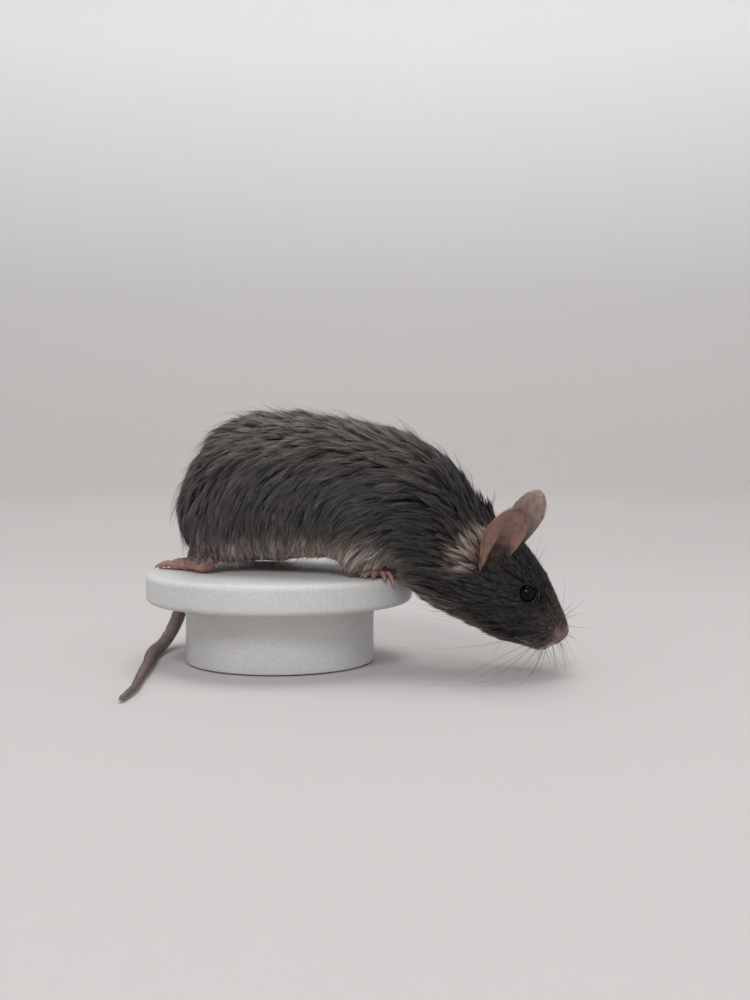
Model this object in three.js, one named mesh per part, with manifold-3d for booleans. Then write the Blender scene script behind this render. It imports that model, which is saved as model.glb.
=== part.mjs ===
// House mouse, Mus musculus: a still, life-size museum model on a plain round base.
// Millimetres, +X towards the nose, +Y to the animal's left, +Z up.
// The origin is the centre of the underside of the base.
//
// The body is drawn straight, in the mouse's own frame: x along the back, y to the side and z above
// the top of the base. pose() then turns and rolls the neck and head. Every size is out to the
// tips of the coat.

import * as THREE from 'three';
import { mergeVertices } from 'three/addons/utils/BufferGeometryUtils.js';
import Module from 'manifold-3d';

const wasm = await Module();
wasm.setup();

const degrees = THREE.MathUtils.degToRad;

// ---- driving dimensions ----

const GAP = 0.3;                     // between neighbouring solids
const SLIVER = 0.02;                 // detail finer than this is left out of the solids
const SECTION_SIDES = 18;            // round the body
const SECTION_ROUNDNESS = 2.2;       // exponent of the body's superellipse sections
const RINGS_PER_STATION = 1.35;
const ELLIPSOID_SIDES = 12;
const DOME = { scale: 0.55, push: 0.6 };   // a tube's end ring, as shares of its radius

const BASE = { radius: 25.4, height: 17, rim: 5.5, foot: 18, edge: 1.2, sides: 36, roundSteps: 2 };
const MIDLINE = 4.4;                 // the spine runs this far to the left of the base's centre

const HEAD_TURN = degrees(12);       // to the left
const HEAD_ROLL = degrees(5.4);      // left side up
const ROLL_HEIGHT = -2;              // height of the line that the head rolls about
const NECK_SPAN = { from: 24, to: 38 };

const EYE = { x: 48.5, y: 6.1, z: -1.3, radius: 1.75 };

const EAR = {
  root: [42.8, 8.4, 4.0],
  tip: [47.6, 11.0, 14.7],
  leftLean: 1.2,                     // the left ear's tip is this much nearer the nose
  facing: degrees(50),               // from straight sideways towards the nose
  rootWidth: 6.4,
  width: 10.6,
  widestAt: 0.55,
  rootWrap: degrees(82),             // half the angle that the funnel wraps
  tipWrap: degrees(30),
  thickness: 0.6,
  steps: 10,                         // from root to tip
  columns: 8,                        // across
};

const THIGH = { centre: [-9.2, 9.5, 11.0], radii: [9.4, 6.5, 9.4] };
const SHOULDER = { centre: [19.5, 7.6, 9.2], radii: [6.6, 5.7, 8.2] };

// Radii, heights over the base and lengths of the limbs' ends.
const TOE = {
  radius: 0.62,
  sides: 5,
  knuckleAt: 0.55,                   // share of the toe's length
  knuckleLift: 0.25,
  taper: 0.07,                       // each toe out from the longest is this share shorter
  longest: 0.2,                      // how many toes from the middle the longest one is
  clawLength: 1.1,
  clawRadius: 0.3,
  clawTip: 0.2,
};
const FOREPAW = {
  radii: { wrist: 1.9, heel: 1.5, palm: 1.6 },
  heelHeight: 2.6,
  palmHeight: 1.35,
  toeLength: 2.8,
  toes: 4,
  spread: degrees(28),
  rings: 4,
};
const HIND_FOOT = {
  radii: { ankle: 2.3, heel: 1.65, sole: 1.4, ball: 1.7 },
  heelHeight: 2.4,
  soleHeight: 1.6,
  ballHeight: 1.15,
  length: 10.2,                      // from the heel to the ball of the foot
  toeLength: 4.0,
  toes: 5,
  spread: degrees(11.6),
  rings: 6,
};
const LIMB_SIDES = 8;

const TAIL = { rootRadius: 1.75, tipRadius: 0.42, sides: 8, ringsPerLength: 9, lengths: 5 };

// ---- colours ----

const FUR_DARK = 0x3c3a3b;
const FUR_HEAD = 0x343234;
const FUR_WARM = 0x57504b;
const SKIN_PINK = 0xb07a72;
const SKIN_TAIL = 0x5d4a45;
const EAR_SKIN = 0x9a7464;
const EYE_BLACK = 0x08080a;
const STAND_GREY = 0xb9b6b1;

// ---- the body's stations ----
// A station is one slice: the point on the back, the point on the underside, half the width, and
// how high the widest level lies, as a share of the slice's height.

function station(backX, backZ, bellyX, bellyZ, half, waist) {
  return { backX, backZ, bellyX, bellyZ, half, waist };
}

const RUMP = [
  station(-22.8, 11.0, -22.6, 8.2, 2.2, 0.5),
  station(-21.8, 14.4, -21.4, 5.4, 7.0, 0.48),
  station(-19.3, 19.6, -18.9, 3.6, 11.0, 0.45),
  station(-15.8, 25.2, -15.4, 2.7, 13.6, 0.43),
  station(-11.6, 29.2, -11.2, 2.3, 15.0, 0.42),
];
const TRUNK = [
  station(-6.0, 30.7, -6.0, 2.2, 15.5, 0.42),
  station(0.0, 30.5, 0.0, 2.4, 15.4, 0.42),
  station(6.0, 30.1, 6.0, 2.8, 14.9, 0.42),
  station(12.0, 29.4, 12.0, 2.9, 14.2, 0.43),
  station(17.5, 28.5, 16.5, 2.6, 13.5, 0.44),
];
const SHOULDERS = [
  station(22.5, 27.1, 20.5, 2.1, 12.8, 0.45),
  station(27.0, 25.5, 23.6, 1.4, 12.0, 0.46),
  station(31.0, 23.6, 26.6, -0.9, 11.2, 0.47),
  station(34.3, 21.2, 29.2, -3.2, 10.3, 0.48),
];
const NECK = [
  station(36.8, 18.1, 31.9, -5.0, 9.6, 0.48),
  station(38.7, 15.0, 34.6, -6.2, 9.2, 0.48),
  station(40.8, 12.2, 37.3, -7.3, 9.1, 0.48),
];
const HEAD = [
  station(43.6, 9.9, 40.0, -8.5, 9.3, 0.47),
  station(46.3, 7.5, 42.6, -9.6, 9.1, 0.46),
  station(48.5, 5.0, 44.8, -10.7, 8.5, 0.46),
  station(50.2, 2.5, 46.6, -11.7, 7.7, 0.46),
  station(51.6, -0.1, 48.2, -12.5, 6.7, 0.47),
];
const MUZZLE = [
  station(52.7, -2.4, 49.6, -12.9, 5.8, 0.48),
  station(53.6, -4.4, 51.0, -12.7, 4.8, 0.5),
  station(54.4, -6.5, 52.2, -12.1, 3.8, 0.5),
  station(55.0, -8.2, 53.5, -11.3, 2.6, 0.5),
  station(55.25, -9.2, 54.6, -10.4, 1.3, 0.5),
];
const STATIONS = [...RUMP, ...TRUNK, ...SHOULDERS, ...NECK, ...HEAD, ...MUZZLE];
const LAST = STATIONS.length - 1;

// The trunk, neck and head part at these stations.
const PARTINGS = { rump: 0, loin: 4, thorax: 8, neck: 13, head: 16.4, nose: 25.2, end: LAST };

// ---- meshes and solids ----

function meshOf(points, triangles) {
  const geometry = new THREE.BufferGeometry();
  geometry.setFromPoints(points);
  geometry.setIndex(triangles);
  return geometry;
}

// Closes a row of rings, each an equal loop of points, into one skin with a fan at either end.
function closedLoft(rings) {
  const sides = rings[0].length;
  const points = rings.flat();
  const triangles = [];
  for (let i = 0; i + 1 < rings.length; i += 1) {
    for (let k = 0; k < sides; k += 1) {
      const a = i * sides + k;
      const b = i * sides + ((k + 1) % sides);
      triangles.push(a, b, a + sides, b, b + sides, a + sides);
    }
  }
  const lastRing = (rings.length - 1) * sides;
  const startCentre = points.push(centreOf(rings[0])) - 1;
  const endCentre = points.push(centreOf(rings[rings.length - 1])) - 1;
  for (let k = 0; k < sides; k += 1) {
    const next = (k + 1) % sides;
    triangles.push(startCentre, next, k);
    triangles.push(endCentre, lastRing + k, lastRing + next);
  }
  return meshOf(points, triangles);
}

function centreOf(ring) {
  const sum = ring.reduce((total, point) => total.add(point), new THREE.Vector3());
  return sum.divideScalar(ring.length);
}

function toSolid(geometry) {
  const bare = geometry.clone();
  bare.deleteAttribute('normal');
  bare.deleteAttribute('uv');
  const merged = mergeVertices(bare, 1e-4);
  const vertProperties = merged.attributes.position.array;
  const triVerts = Uint32Array.from(merged.index.array);
  return new wasm.Manifold(new wasm.Mesh({ numProp: 3, vertProperties, triVerts }));
}

function toGeometry(solid) {
  const { vertProperties, triVerts } = solid.getMesh();
  const geometry = new THREE.BufferGeometry();
  geometry.setAttribute('position', new THREE.BufferAttribute(vertProperties, 3));
  geometry.setIndex(new THREE.BufferAttribute(triVerts, 1));
  return geometry;
}

const joined = (solids) => solids.reduce((whole, solid) => whole.add(solid));

function ellipsoid([x, y, z], [rx, ry, rz], grow = 0) {
  const geometry = new THREE.SphereGeometry(1, ELLIPSOID_SIDES, ELLIPSOID_SIDES / 2 + 2);
  geometry.scale(rx + grow, ry + grow, rz + grow);
  geometry.translate(x, y, z);
  return toSolid(geometry);
}

// A round tube along a smooth curve through the points, its radii spread evenly along it. floor
// flattens whatever would hang lower, and the ends are domed unless they meet a neighbour.
function taperedTube(points, radii, sides, rings, { floor = -Infinity, domed = true } = {}) {
  const curve = new THREE.CatmullRomCurve3(points.map((p) => new THREE.Vector3(...p)));
  const frames = curve.computeFrenetFrames(rings);
  const radiusAt = (share) => {
    const place = share * (radii.length - 1);
    const index = Math.min(Math.floor(place), radii.length - 2);
    return THREE.MathUtils.lerp(radii[index], radii[index + 1], place - index);
  };
  const ringAt = (share, frame, scale, push) => {
    const centre = curve.getPointAt(share).addScaledVector(frames.tangents[frame], push);
    const radius = radiusAt(share) * scale;
    return Array.from({ length: sides }, (_, k) => {
      const angle = (2 * Math.PI * k) / sides;
      const point = centre.clone();
      point.addScaledVector(frames.normals[frame], radius * Math.cos(angle));
      point.addScaledVector(frames.binormals[frame], radius * Math.sin(angle));
      point.z = Math.max(point.z, floor);
      return point;
    });
  };
  const loops = Array.from({ length: rings + 1 }, (_, i) => ringAt(i / rings, i, 1, 0));
  if (domed) {
    loops.unshift(ringAt(0, 0, DOME.scale, -radii[0] * DOME.push));
    loops.push(ringAt(1, rings, DOME.scale, radii[radii.length - 1] * DOME.push));
  }
  return closedLoft(loops);
}

// ---- the body ----

const backCurve = new THREE.CatmullRomCurve3(STATIONS.map((s) => new THREE.Vector3(s.backX, 0, s.backZ)));
const bellyCurve = new THREE.CatmullRomCurve3(STATIONS.map((s) => new THREE.Vector3(s.bellyX, 0, s.bellyZ)));
const girthCurve = new THREE.CatmullRomCurve3(STATIONS.map((s) => new THREE.Vector3(s.half, s.waist, 0)));

const superellipse = (value) => Math.sign(value) * Math.abs(value) ** (2 / SECTION_ROUNDNESS);

function bodySection(place, grow) {
  const back = backCurve.getPoint(place / LAST);
  const belly = bellyCurve.getPoint(place / LAST);
  const girth = girthCurve.getPoint(place / LAST);
  const up = back.clone().sub(belly);
  const height = up.length();
  up.normalize();
  const waist = girth.y * height;
  const centre = belly.clone().addScaledVector(up, waist);
  return Array.from({ length: SECTION_SIDES }, (_, k) => {
    const angle = (2 * Math.PI * k) / SECTION_SIDES;
    const reach = Math.sin(angle) > 0 ? height - waist : waist;
    const point = centre.clone().addScaledVector(up, (reach + grow) * superellipse(Math.sin(angle)));
    point.y = (girth.x + grow) * superellipse(Math.cos(angle));
    return point;
  });
}

// The stretch of the body between two places along its row of stations.
function bodyStretch(from, to, grow = 0) {
  const steps = Math.ceil((to - from) * RINGS_PER_STATION);
  const sections = [];
  for (let i = 0; i <= steps; i += 1) {
    sections.push(bodySection(THREE.MathUtils.lerp(from, to, i / steps), grow));
  }
  return toSolid(closedLoft(sections));
}

// How far along the row of stations half a gap reaches.
function halfGapAt(place) {
  const step = 0.1;
  const lengths = [backCurve, bellyCurve].map((curve) => {
    return curve.getPoint((place + step) / LAST).distanceTo(curve.getPoint(place / LAST));
  });
  return ((GAP / 2) * step) / Math.min(...lengths);
}

function bodyNode(from, to) {
  const start = from === 0 ? 0 : from + halfGapAt(from);
  const end = to === LAST ? LAST : to - halfGapAt(to);
  return bodyStretch(start, end);
}

const wholeBody = bodyStretch(0, LAST, GAP);

// ---- jaw ----
// The mouth runs back from under the nose; behind its corner the jaw ends in front of the throat.

function sideCut(outline) {
  const shape = new THREE.Shape(outline.map(([x, z]) => new THREE.Vector2(x, z)));
  const width = 40;
  const geometry = new THREE.ExtrudeGeometry(shape, { depth: width, bevelEnabled: false });
  geometry.rotateX(Math.PI / 2);
  geometry.translate(0, width / 2, 0);
  return toSolid(geometry);
}

const MOUTH = { front: [53.3, -11.5], corner: [47.8, -10.6], throat: [44.8, -12.8] };

function jawWedge(grow) {
  const [frontX, frontZ] = MOUTH.front;
  const [cornerX, cornerZ] = MOUTH.corner;
  const [throatX, throatZ] = MOUTH.throat;
  return sideCut([
    [frontX + 4, frontZ - 1 + grow],
    [frontX, frontZ + grow],
    [cornerX - grow, cornerZ + grow],
    [throatX - grow, throatZ - grow],
    [throatX, throatZ - 6],
    [frontX + 4, frontZ - 6],
  ]);
}

// ---- ears ----

function earFrame(side) {
  const mirror = new THREE.Vector3(1, side, 1);
  const root = new THREE.Vector3(...EAR.root).multiply(mirror);
  const along = new THREE.Vector3(...EAR.tip).multiply(mirror).sub(root);
  if (side > 0) along.x += EAR.leftLean;
  const length = along.length();
  along.normalize();
  const face = new THREE.Vector3(Math.sin(EAR.facing), side * Math.cos(EAR.facing), 0);
  face.addScaledVector(along, -face.dot(along)).normalize();
  return { root, along, face, across: along.clone().cross(face), length };
}

// Half the width of the ear, a share of the way from its root to its tip.
function earHalfWidth(share) {
  if (share < EAR.widestAt) {
    const swell = Math.sin((share / EAR.widestAt) * (Math.PI / 2));
    return THREE.MathUtils.lerp(EAR.rootWidth, EAR.width, swell) / 2;
  }
  const past = (share - EAR.widestAt) / (1 - EAR.widestAt);
  return (EAR.width / 2) * Math.sqrt(Math.max(1 - past * past, 0));
}

// A point of the cupped ear; layer is -1 on its back, 1 on its hollow face.
function earPoint(frame, share, sideways, layer) {
  const half = Math.max(earHalfWidth(share), 0.3);
  const wrap = THREE.MathUtils.lerp(EAR.rootWrap, EAR.tipWrap, Math.sqrt(share));
  const radius = half / wrap + (-layer * EAR.thickness) / 2;
  const angle = sideways * wrap;
  const point = frame.root.clone().addScaledVector(frame.along, share * frame.length);
  point.addScaledVector(frame.across, radius * Math.sin(angle));
  return point.addScaledVector(frame.face, (half / wrap) * Math.cos(wrap) - radius * Math.cos(angle));
}

function earShell(side) {
  const frame = earFrame(side);
  const { steps, columns } = EAR;
  const rings = [];
  for (let i = 0; i <= steps; i += 1) {
    const share = 1 - (1 - i / steps) ** 1.5;
    const ring = [];
    for (let k = 0; k <= columns; k += 1) ring.push(earPoint(frame, share, (2 * k) / columns - 1, 1));
    for (let k = columns; k >= 0; k -= 1) ring.push(earPoint(frame, share, (2 * k) / columns - 1, -1));
    rings.push(ring);
  }
  return toSolid(closedLoft(rings));
}

// ---- feet ----

// The height of a toe's middle over the base, or over the round of its edge.
function toeHeight(x, y, radius) {
  const roundFrom = BASE.radius - BASE.edge;
  const past = Math.hypot(x, y + MIDLINE) - roundFrom;
  const clear = GAP + radius;
  if (past <= 0) return clear;
  const reach = BASE.edge + clear;
  return Math.sqrt(Math.max(reach * reach - past * past, 0)) - BASE.edge;
}

function toe([x, y], direction, length) {
  const at = (distance, radius) => {
    const px = x + distance * Math.cos(direction);
    const py = y + distance * Math.sin(direction);
    return [px, py, toeHeight(px, py, radius)];
  };
  const knuckle = at(length * TOE.knuckleAt, TOE.radius);
  knuckle[2] += TOE.knuckleLift;
  const digit = [at(0, TOE.radius), knuckle, at(length, TOE.radius)];
  const claw = [at(length, TOE.radius), at(length + TOE.clawLength, TOE.clawTip)];
  const digitRadii = [TOE.radius * 1.15, TOE.radius, TOE.radius * 0.95];
  return joined([
    toSolid(taperedTube(digit, digitRadii, TOE.sides, 2)),
    toSolid(taperedTube(claw, [TOE.clawRadius, TOE.clawTip], TOE.sides, 1, { domed: false })),
  ]);
}

// A fan of toes round a direction, the outer ones a little shorter.
function toes(root, direction, { toes: count, spread }, length) {
  const middle = (count - 1) / 2;
  return Array.from({ length: count }, (_, i) => {
    const outward = i - middle;
    const swing = outward * spread;
    return toe(root, direction + swing, length * (1 - TOE.taper * Math.abs(outward + TOE.longest)));
  });
}

function forepaw({ wrist, palm, direction }) {
  const { radii, heelHeight, palmHeight, toeLength, rings } = FOREPAW;
  const heel = [(wrist[0] + palm[0]) / 2, (wrist[1] + palm[1]) / 2, heelHeight];
  const route = [wrist, heel, [...palm, palmHeight]];
  const thickness = [radii.wrist, radii.heel, radii.palm];
  const limb = toSolid(taperedTube(route, thickness, LIMB_SIDES, rings, { floor: GAP }));
  const digits = toes(palm, direction, FOREPAW, radii.palm + toeLength);
  return joined([limb, ...digits]).subtract(wholeBody);
}

function hindFoot({ ankle, heel, direction }) {
  const { radii, heelHeight, soleHeight, ballHeight, length, toeLength, rings } = HIND_FOOT;
  const ball = [heel[0] + length * Math.cos(direction), heel[1] + length * Math.sin(direction)];
  const sole = [(heel[0] + ball[0]) / 2, (heel[1] + ball[1]) / 2, soleHeight];
  const route = [ankle, [...heel, heelHeight], sole, [...ball, ballHeight]];
  const thickness = [radii.ankle, radii.heel, radii.sole, radii.ball];
  const limb = toSolid(taperedTube(route, thickness, LIMB_SIDES, rings, { floor: GAP }));
  const digits = toes(ball, direction, HIND_FOOT, toeLength);
  return joined([limb, ...digits]).subtract(wholeBody);
}

// ---- tail ----
// It leaves the rump, drops over the back edge of the base and lies on the floor beside it.

const TAIL_ROUTE = [
  [-17.8, 0.4, 6.4],
  [-21.4, 1.9, 4.3],
  [-24.5, 3.5, 2.0],
  [-26.8, 4.5, -1.2],
  [-27.8, 4.1, -5.2],
  [-27.9, 2.0, -10.0],
  [-27.3, -1.8, -13.6],
  [-25.8, -6.8, -15.5],
  [-22.3, -15.0, -15.8],
  [-15.9, -25.2, -15.95],
  [-10.1, -35.0, -16.1],
  [-4.8, -43.8, -16.25],
  [-1.5, -51.5, -16.5],
];
const tailCurve = new THREE.CatmullRomCurve3(TAIL_ROUTE.map((p) => new THREE.Vector3(...p)));

const tailRadius = (share) => THREE.MathUtils.lerp(TAIL.rootRadius, TAIL.tipRadius, share);

function tailLength(index) {
  const halfGap = GAP / 2 / tailCurve.getLength();
  const from = index / TAIL.lengths + (index === 0 ? 0 : halfGap);
  const to = (index + 1) / TAIL.lengths - (index === TAIL.lengths - 1 ? 0 : halfGap);
  const rings = TAIL.ringsPerLength;
  const points = Array.from({ length: rings + 1 }, (_, i) => {
    return tailCurve.getPointAt(THREE.MathUtils.lerp(from, to, i / rings)).toArray();
  });
  const radii = [tailRadius(from), tailRadius(to)];
  const options = { floor: -BASE.height, domed: false };
  return toSolid(taperedTube(points, radii, TAIL.sides, rings, options)).subtract(wholeBody);
}

// ---- base ----

function baseGeometry() {
  const { radius, height, rim, foot, edge } = BASE;
  const profile = new THREE.Path();
  profile.moveTo(0, 0);
  profile.lineTo(foot, 0);
  profile.lineTo(foot, height - rim - 3);
  profile.quadraticCurveTo(foot, height - rim, foot + 3, height - rim);
  profile.lineTo(radius - edge, height - rim);
  profile.absarc(radius - edge, height - rim + edge, edge, -Math.PI / 2, 0, false);
  profile.absarc(radius - edge, height - edge, edge, 0, Math.PI / 2, false);
  profile.lineTo(0, height);
  const geometry = new THREE.LatheGeometry(profile.getPoints(BASE.roundSteps), BASE.sides);
  return geometry.rotateX(Math.PI / 2);
}

// ---- the pose ----

// Where a point of the straight body goes once the neck bends and the head rolls.
function pose(geometry) {
  const place = geometry.attributes.position;
  const point = new THREE.Vector3();
  for (let i = 0; i < place.count; i += 1) {
    point.fromBufferAttribute(place, i);
    const roll = HEAD_ROLL * THREE.MathUtils.smoothstep(point.x, NECK_SPAN.from + 4, NECK_SPAN.to + 4);
    const lift = point.z - ROLL_HEIGHT;
    const y = point.y * Math.cos(roll) - lift * Math.sin(roll);
    const z = ROLL_HEIGHT + point.y * Math.sin(roll) + lift * Math.cos(roll);
    const spine = spineAt(point.x);
    place.setXYZ(i, spine.x - y * Math.sin(spine.heading), spine.y + y * Math.cos(spine.heading), z);
  }
  return geometry;
}

const headingAt = (x) => HEAD_TURN * THREE.MathUtils.smoothstep(x, NECK_SPAN.from, NECK_SPAN.to);

function spineAt(distance) {
  const spine = { x: Math.min(distance, NECK_SPAN.from), y: 0, heading: headingAt(distance) };
  const steps = 24;
  const step = (distance - spine.x) / steps;
  for (let i = 0; i < steps; i += 1) {
    const heading = headingAt(NECK_SPAN.from + (i + 0.5) * step);
    spine.x += step * Math.cos(heading);
    spine.y += step * Math.sin(heading);
  }
  return spine;
}

// ---- the model ----

const mouse = new THREE.Group();
mouse.position.set(0, MIDLINE, BASE.height);

function addNode(group, name, geometry, color, roughness, metalness = 0) {
  geometry.computeVertexNormals();
  const mesh = new THREE.Mesh(geometry, new THREE.MeshStandardMaterial({ color, roughness, metalness }));
  mesh.name = name;
  group.add(mesh);
}

function addFlesh(name, solid, color) {
  addNode(mouse, name, pose(toGeometry(solid.asOriginal().simplify(SLIVER))), color, 0.85);
}

const SIDES = [['right', -1], ['left', 1]];
const onSide = ([x, y, z], side) => [x, y * side, z];

const thigh = (side, grow = 0) => ellipsoid(onSide(THIGH.centre, side), THIGH.radii, grow);
const shoulder = (side, grow = 0) => ellipsoid(onSide(SHOULDER.centre, side), SHOULDER.radii, grow);
const limbRooms = SIDES.flatMap(([, side]) => [thigh(side, GAP), shoulder(side, GAP)]);
const clearOfLimbs = (solid) => limbRooms.reduce((rest, room) => rest.subtract(room), solid);

addFlesh('rump', clearOfLimbs(bodyNode(PARTINGS.rump, PARTINGS.loin)), FUR_DARK);
addFlesh('loin', clearOfLimbs(bodyNode(PARTINGS.loin, PARTINGS.thorax)), FUR_DARK);
addFlesh('thorax', clearOfLimbs(bodyNode(PARTINGS.thorax, PARTINGS.neck)), FUR_DARK);
addFlesh('neck', clearOfLimbs(bodyNode(PARTINGS.neck, PARTINGS.head)), FUR_DARK);

const eyeAt = (side) => [EYE.x, EYE.y * side, EYE.z];
const eyeRadii = [EYE.radius, EYE.radius, EYE.radius];
const sockets = SIDES.map(([, side]) => ellipsoid(eyeAt(side), eyeRadii, GAP));
const headBlock = bodyNode(PARTINGS.head, PARTINGS.nose).subtract(joined(sockets));
addFlesh('head', headBlock.subtract(jawWedge(GAP)), FUR_HEAD);
addFlesh('lower_jaw', headBlock.intersect(jawWedge(0)), FUR_WARM);
addFlesh('nose', bodyNode(PARTINGS.nose, PARTINGS.end), SKIN_PINK);

const FOREPAWS = {
  right: { wrist: [20.6, -5.6, 4.6], palm: [22.4, -6.6], direction: degrees(-62) },
  left: { wrist: [15.8, 6.2, 4.4], palm: [17.2, 7.2], direction: degrees(25) },
};
const HIND_FEET = {
  right: { ankle: [-11.6, -12.4, 5.4], heel: [-9.8, -14.6], direction: degrees(158) },
  left: { ankle: [-10.6, 10.4, 5.4], heel: [-8.6, 12.2], direction: degrees(195) },
};

for (const [name, side] of SIDES) {
  addFlesh(`ear_${name}`, earShell(side).subtract(wholeBody), EAR_SKIN);
  addNode(mouse, `eye_${name}`, pose(toGeometry(ellipsoid(eyeAt(side), eyeRadii))), EYE_BLACK, 0.08);
  addFlesh(`shoulder_${name}`, shoulder(side), FUR_DARK);
  addFlesh(`forepaw_${name}`, clearOfLimbs(forepaw(FOREPAWS[name])), SKIN_PINK);
  addFlesh(`thigh_${name}`, thigh(side), FUR_DARK);
  addFlesh(`hind_foot_${name}`, clearOfLimbs(hindFoot(HIND_FEET[name])), SKIN_PINK);
}

for (let i = 0; i < TAIL.lengths; i += 1) addFlesh(`tail_${i + 1}`, tailLength(i), SKIN_TAIL);

const model = new THREE.Group();
model.add(mouse);
addNode(model, 'stand_base', baseGeometry(), STAND_GREY, 0.6);

export default model;
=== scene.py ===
"""House mouse on a round base: one skin, its coat, eyes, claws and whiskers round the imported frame.

The animal is shaped in millimetres in its own straight frame, the one the CAD source uses: x along the
back, y to its left, z above the top of the base. place() turns and rolls the head and moves everything
into the row frame, in metres. Every size is the CAD's, and the skin lies inside it by the coat's depth.
"""

import math

import bpy
import numpy as np
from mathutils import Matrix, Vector
from mathutils.bvhtree import BVHTree
from mathutils.kdtree import KDTree


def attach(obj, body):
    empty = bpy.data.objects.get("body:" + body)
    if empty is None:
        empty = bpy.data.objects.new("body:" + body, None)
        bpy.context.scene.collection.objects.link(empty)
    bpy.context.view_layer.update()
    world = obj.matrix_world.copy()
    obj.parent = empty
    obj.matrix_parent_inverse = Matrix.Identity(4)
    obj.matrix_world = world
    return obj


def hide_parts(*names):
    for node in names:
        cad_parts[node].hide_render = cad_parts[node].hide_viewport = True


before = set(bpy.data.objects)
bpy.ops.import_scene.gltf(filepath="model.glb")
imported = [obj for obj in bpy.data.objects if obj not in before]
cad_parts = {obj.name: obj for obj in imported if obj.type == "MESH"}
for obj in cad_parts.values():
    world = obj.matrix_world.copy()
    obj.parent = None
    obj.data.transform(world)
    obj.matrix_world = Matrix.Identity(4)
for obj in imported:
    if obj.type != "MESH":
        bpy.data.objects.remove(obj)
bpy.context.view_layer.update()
MM = 0.001
TAU = 2 * math.pi
SIDES = (("right", -1), ("left", 1))

# ---- small tools ----


def smoothstep(x, low, high):
    t = np.clip((np.asarray(x, float) - low) / (high - low), 0, 1)
    return t * t * (3 - 2 * t)


def fade(x, low, high):
    """1 below low, falling smoothly to 0 at high."""
    return 1 - smoothstep(x, low, high)


def bell(x, width):
    """1 where x is 0, fading to both sides."""
    return np.exp(-((x / width) ** 2))


def circle(count):
    return TAU * np.arange(count) / count


def unit(v):
    return v / np.maximum(np.linalg.norm(v, axis=-1, keepdims=True), 1e-12)


def dot(a, b):
    return (a * b).sum(-1, keepdims=True)


def bump_at(points, centre, radius):
    """1 at centre, fading to 0 over about radius; radius may be one number or three."""
    return np.exp(-(((points - np.asarray(centre)) / np.asarray(radius)) ** 2).sum(-1))


def noise(points, size, seed):
    """Smooth noise from -1 to 1 with features about size across."""
    q = np.asarray(points, float) / size + seed * 17.137
    cell = np.floor(q).astype(np.int64)
    f = q - cell
    f = f * f * (3 - 2 * f)
    total = 0.0
    for dx in (0, 1):
        for dy in (0, 1):
            for dz in (0, 1):
                n = (cell[..., 0] + dx) * 73856093 ^ (cell[..., 1] + dy) * 19349663
                n = (n ^ (cell[..., 2] + dz) * 83492791 ^ seed * 2654435761) & 0x7FFFFFFF
                n = ((n ^ (n >> 13)) * 1274126177) & 0x7FFFFFFF
                value = ((n ^ (n >> 16)) & 0xFFFF) / 32767.5 - 1
                weight = (f[..., 0] if dx else 1 - f[..., 0]) * (f[..., 1] if dy else 1 - f[..., 1])
                total = total + value * weight * (f[..., 2] if dz else 1 - f[..., 2])
    return total


class Curve:
    """A centripetal Catmull-Rom curve through points, called with 0 at the first and 1 a point on."""

    def __init__(self, points):
        p = np.asarray(points, float)
        p = np.vstack([2 * p[0] - p[1], p, 2 * p[-1] - p[-2]])
        gap = np.sqrt(np.maximum(np.linalg.norm(np.diff(p, axis=0), axis=1), 1e-8))[:, None]
        a, b, c = gap[:-2], gap[1:-1], gap[2:]
        p0, p1, p2, p3 = p[:-3], p[1:-2], p[2:-1], p[3:]
        self.p1, self.p2 = p1, p2
        self.m1 = ((p1 - p0) / a - (p2 - p0) / (a + b) + (p2 - p1) / b) * b
        self.m2 = ((p2 - p1) / b - (p3 - p1) / (b + c) + (p3 - p2) / c) * b
        self.last = len(p1)

    def __call__(self, place):
        place = np.asarray(place, float)
        i = np.clip(np.floor(place).astype(int), 0, self.last - 1)
        t = (place - i)[..., None]
        h = 2 * t**3 - 3 * t**2
        return (
            (h + 1) * self.p1[i]
            - h * self.p2[i]
            + (t**3 - 2 * t**2 + t) * self.m1[i]
            + (t**3 - t**2) * self.m2[i]
        )

    def evenly(self, count):
        """count points at equal steps of length."""
        fine = self(np.linspace(0, self.last, 2000))
        run = np.concatenate([[0], np.cumsum(np.linalg.norm(np.diff(fine, axis=0), axis=1))])
        at = np.linspace(0, run[-1], count)
        return np.stack([np.interp(at, run, fine[:, k]) for k in range(3)], 1), run[-1]


# ---- the pose ----

MIDLINE, BASE_TOP = 4.4, 17.0
HEAD_TURN, HEAD_ROLL, ROLL_HEIGHT = math.radians(12), math.radians(5.4), -2.0
NECK_FROM, NECK_TO = 24.0, 38.0


def heading(x):
    return HEAD_TURN * smoothstep(x, NECK_FROM, NECK_TO)


SPINE_X = np.linspace(NECK_FROM, 90, 1321)
steps = np.diff(SPINE_X)[:, None]
turns = heading((SPINE_X[1:] + SPINE_X[:-1]) / 2)
SPINE = np.vstack([[[NECK_FROM, 0]], np.stack([np.cos(turns), np.sin(turns)], 1) * steps]).cumsum(0)


def place(points):
    """Points of the straight mouse, in millimetres, where they go in the row frame, in metres."""
    x, y, z = np.asarray(points, float).reshape(-1, 3).T
    roll = HEAD_ROLL * smoothstep(x, NECK_FROM + 4, NECK_TO + 4)
    lift = z - ROLL_HEIGHT
    side = y * np.cos(roll) - lift * np.sin(roll)
    high = ROLL_HEIGHT + y * np.sin(roll) + lift * np.cos(roll)
    past = x > NECK_FROM
    sx = np.where(past, np.interp(x, SPINE_X, SPINE[:, 0]), x)
    sy = np.where(past, np.interp(x, SPINE_X, SPINE[:, 1]), 0)
    turn = heading(x)
    out = np.stack([sx - side * np.sin(turn), sy + side * np.cos(turn) + MIDLINE, high + BASE_TOP], 1)
    return out * MM


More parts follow.
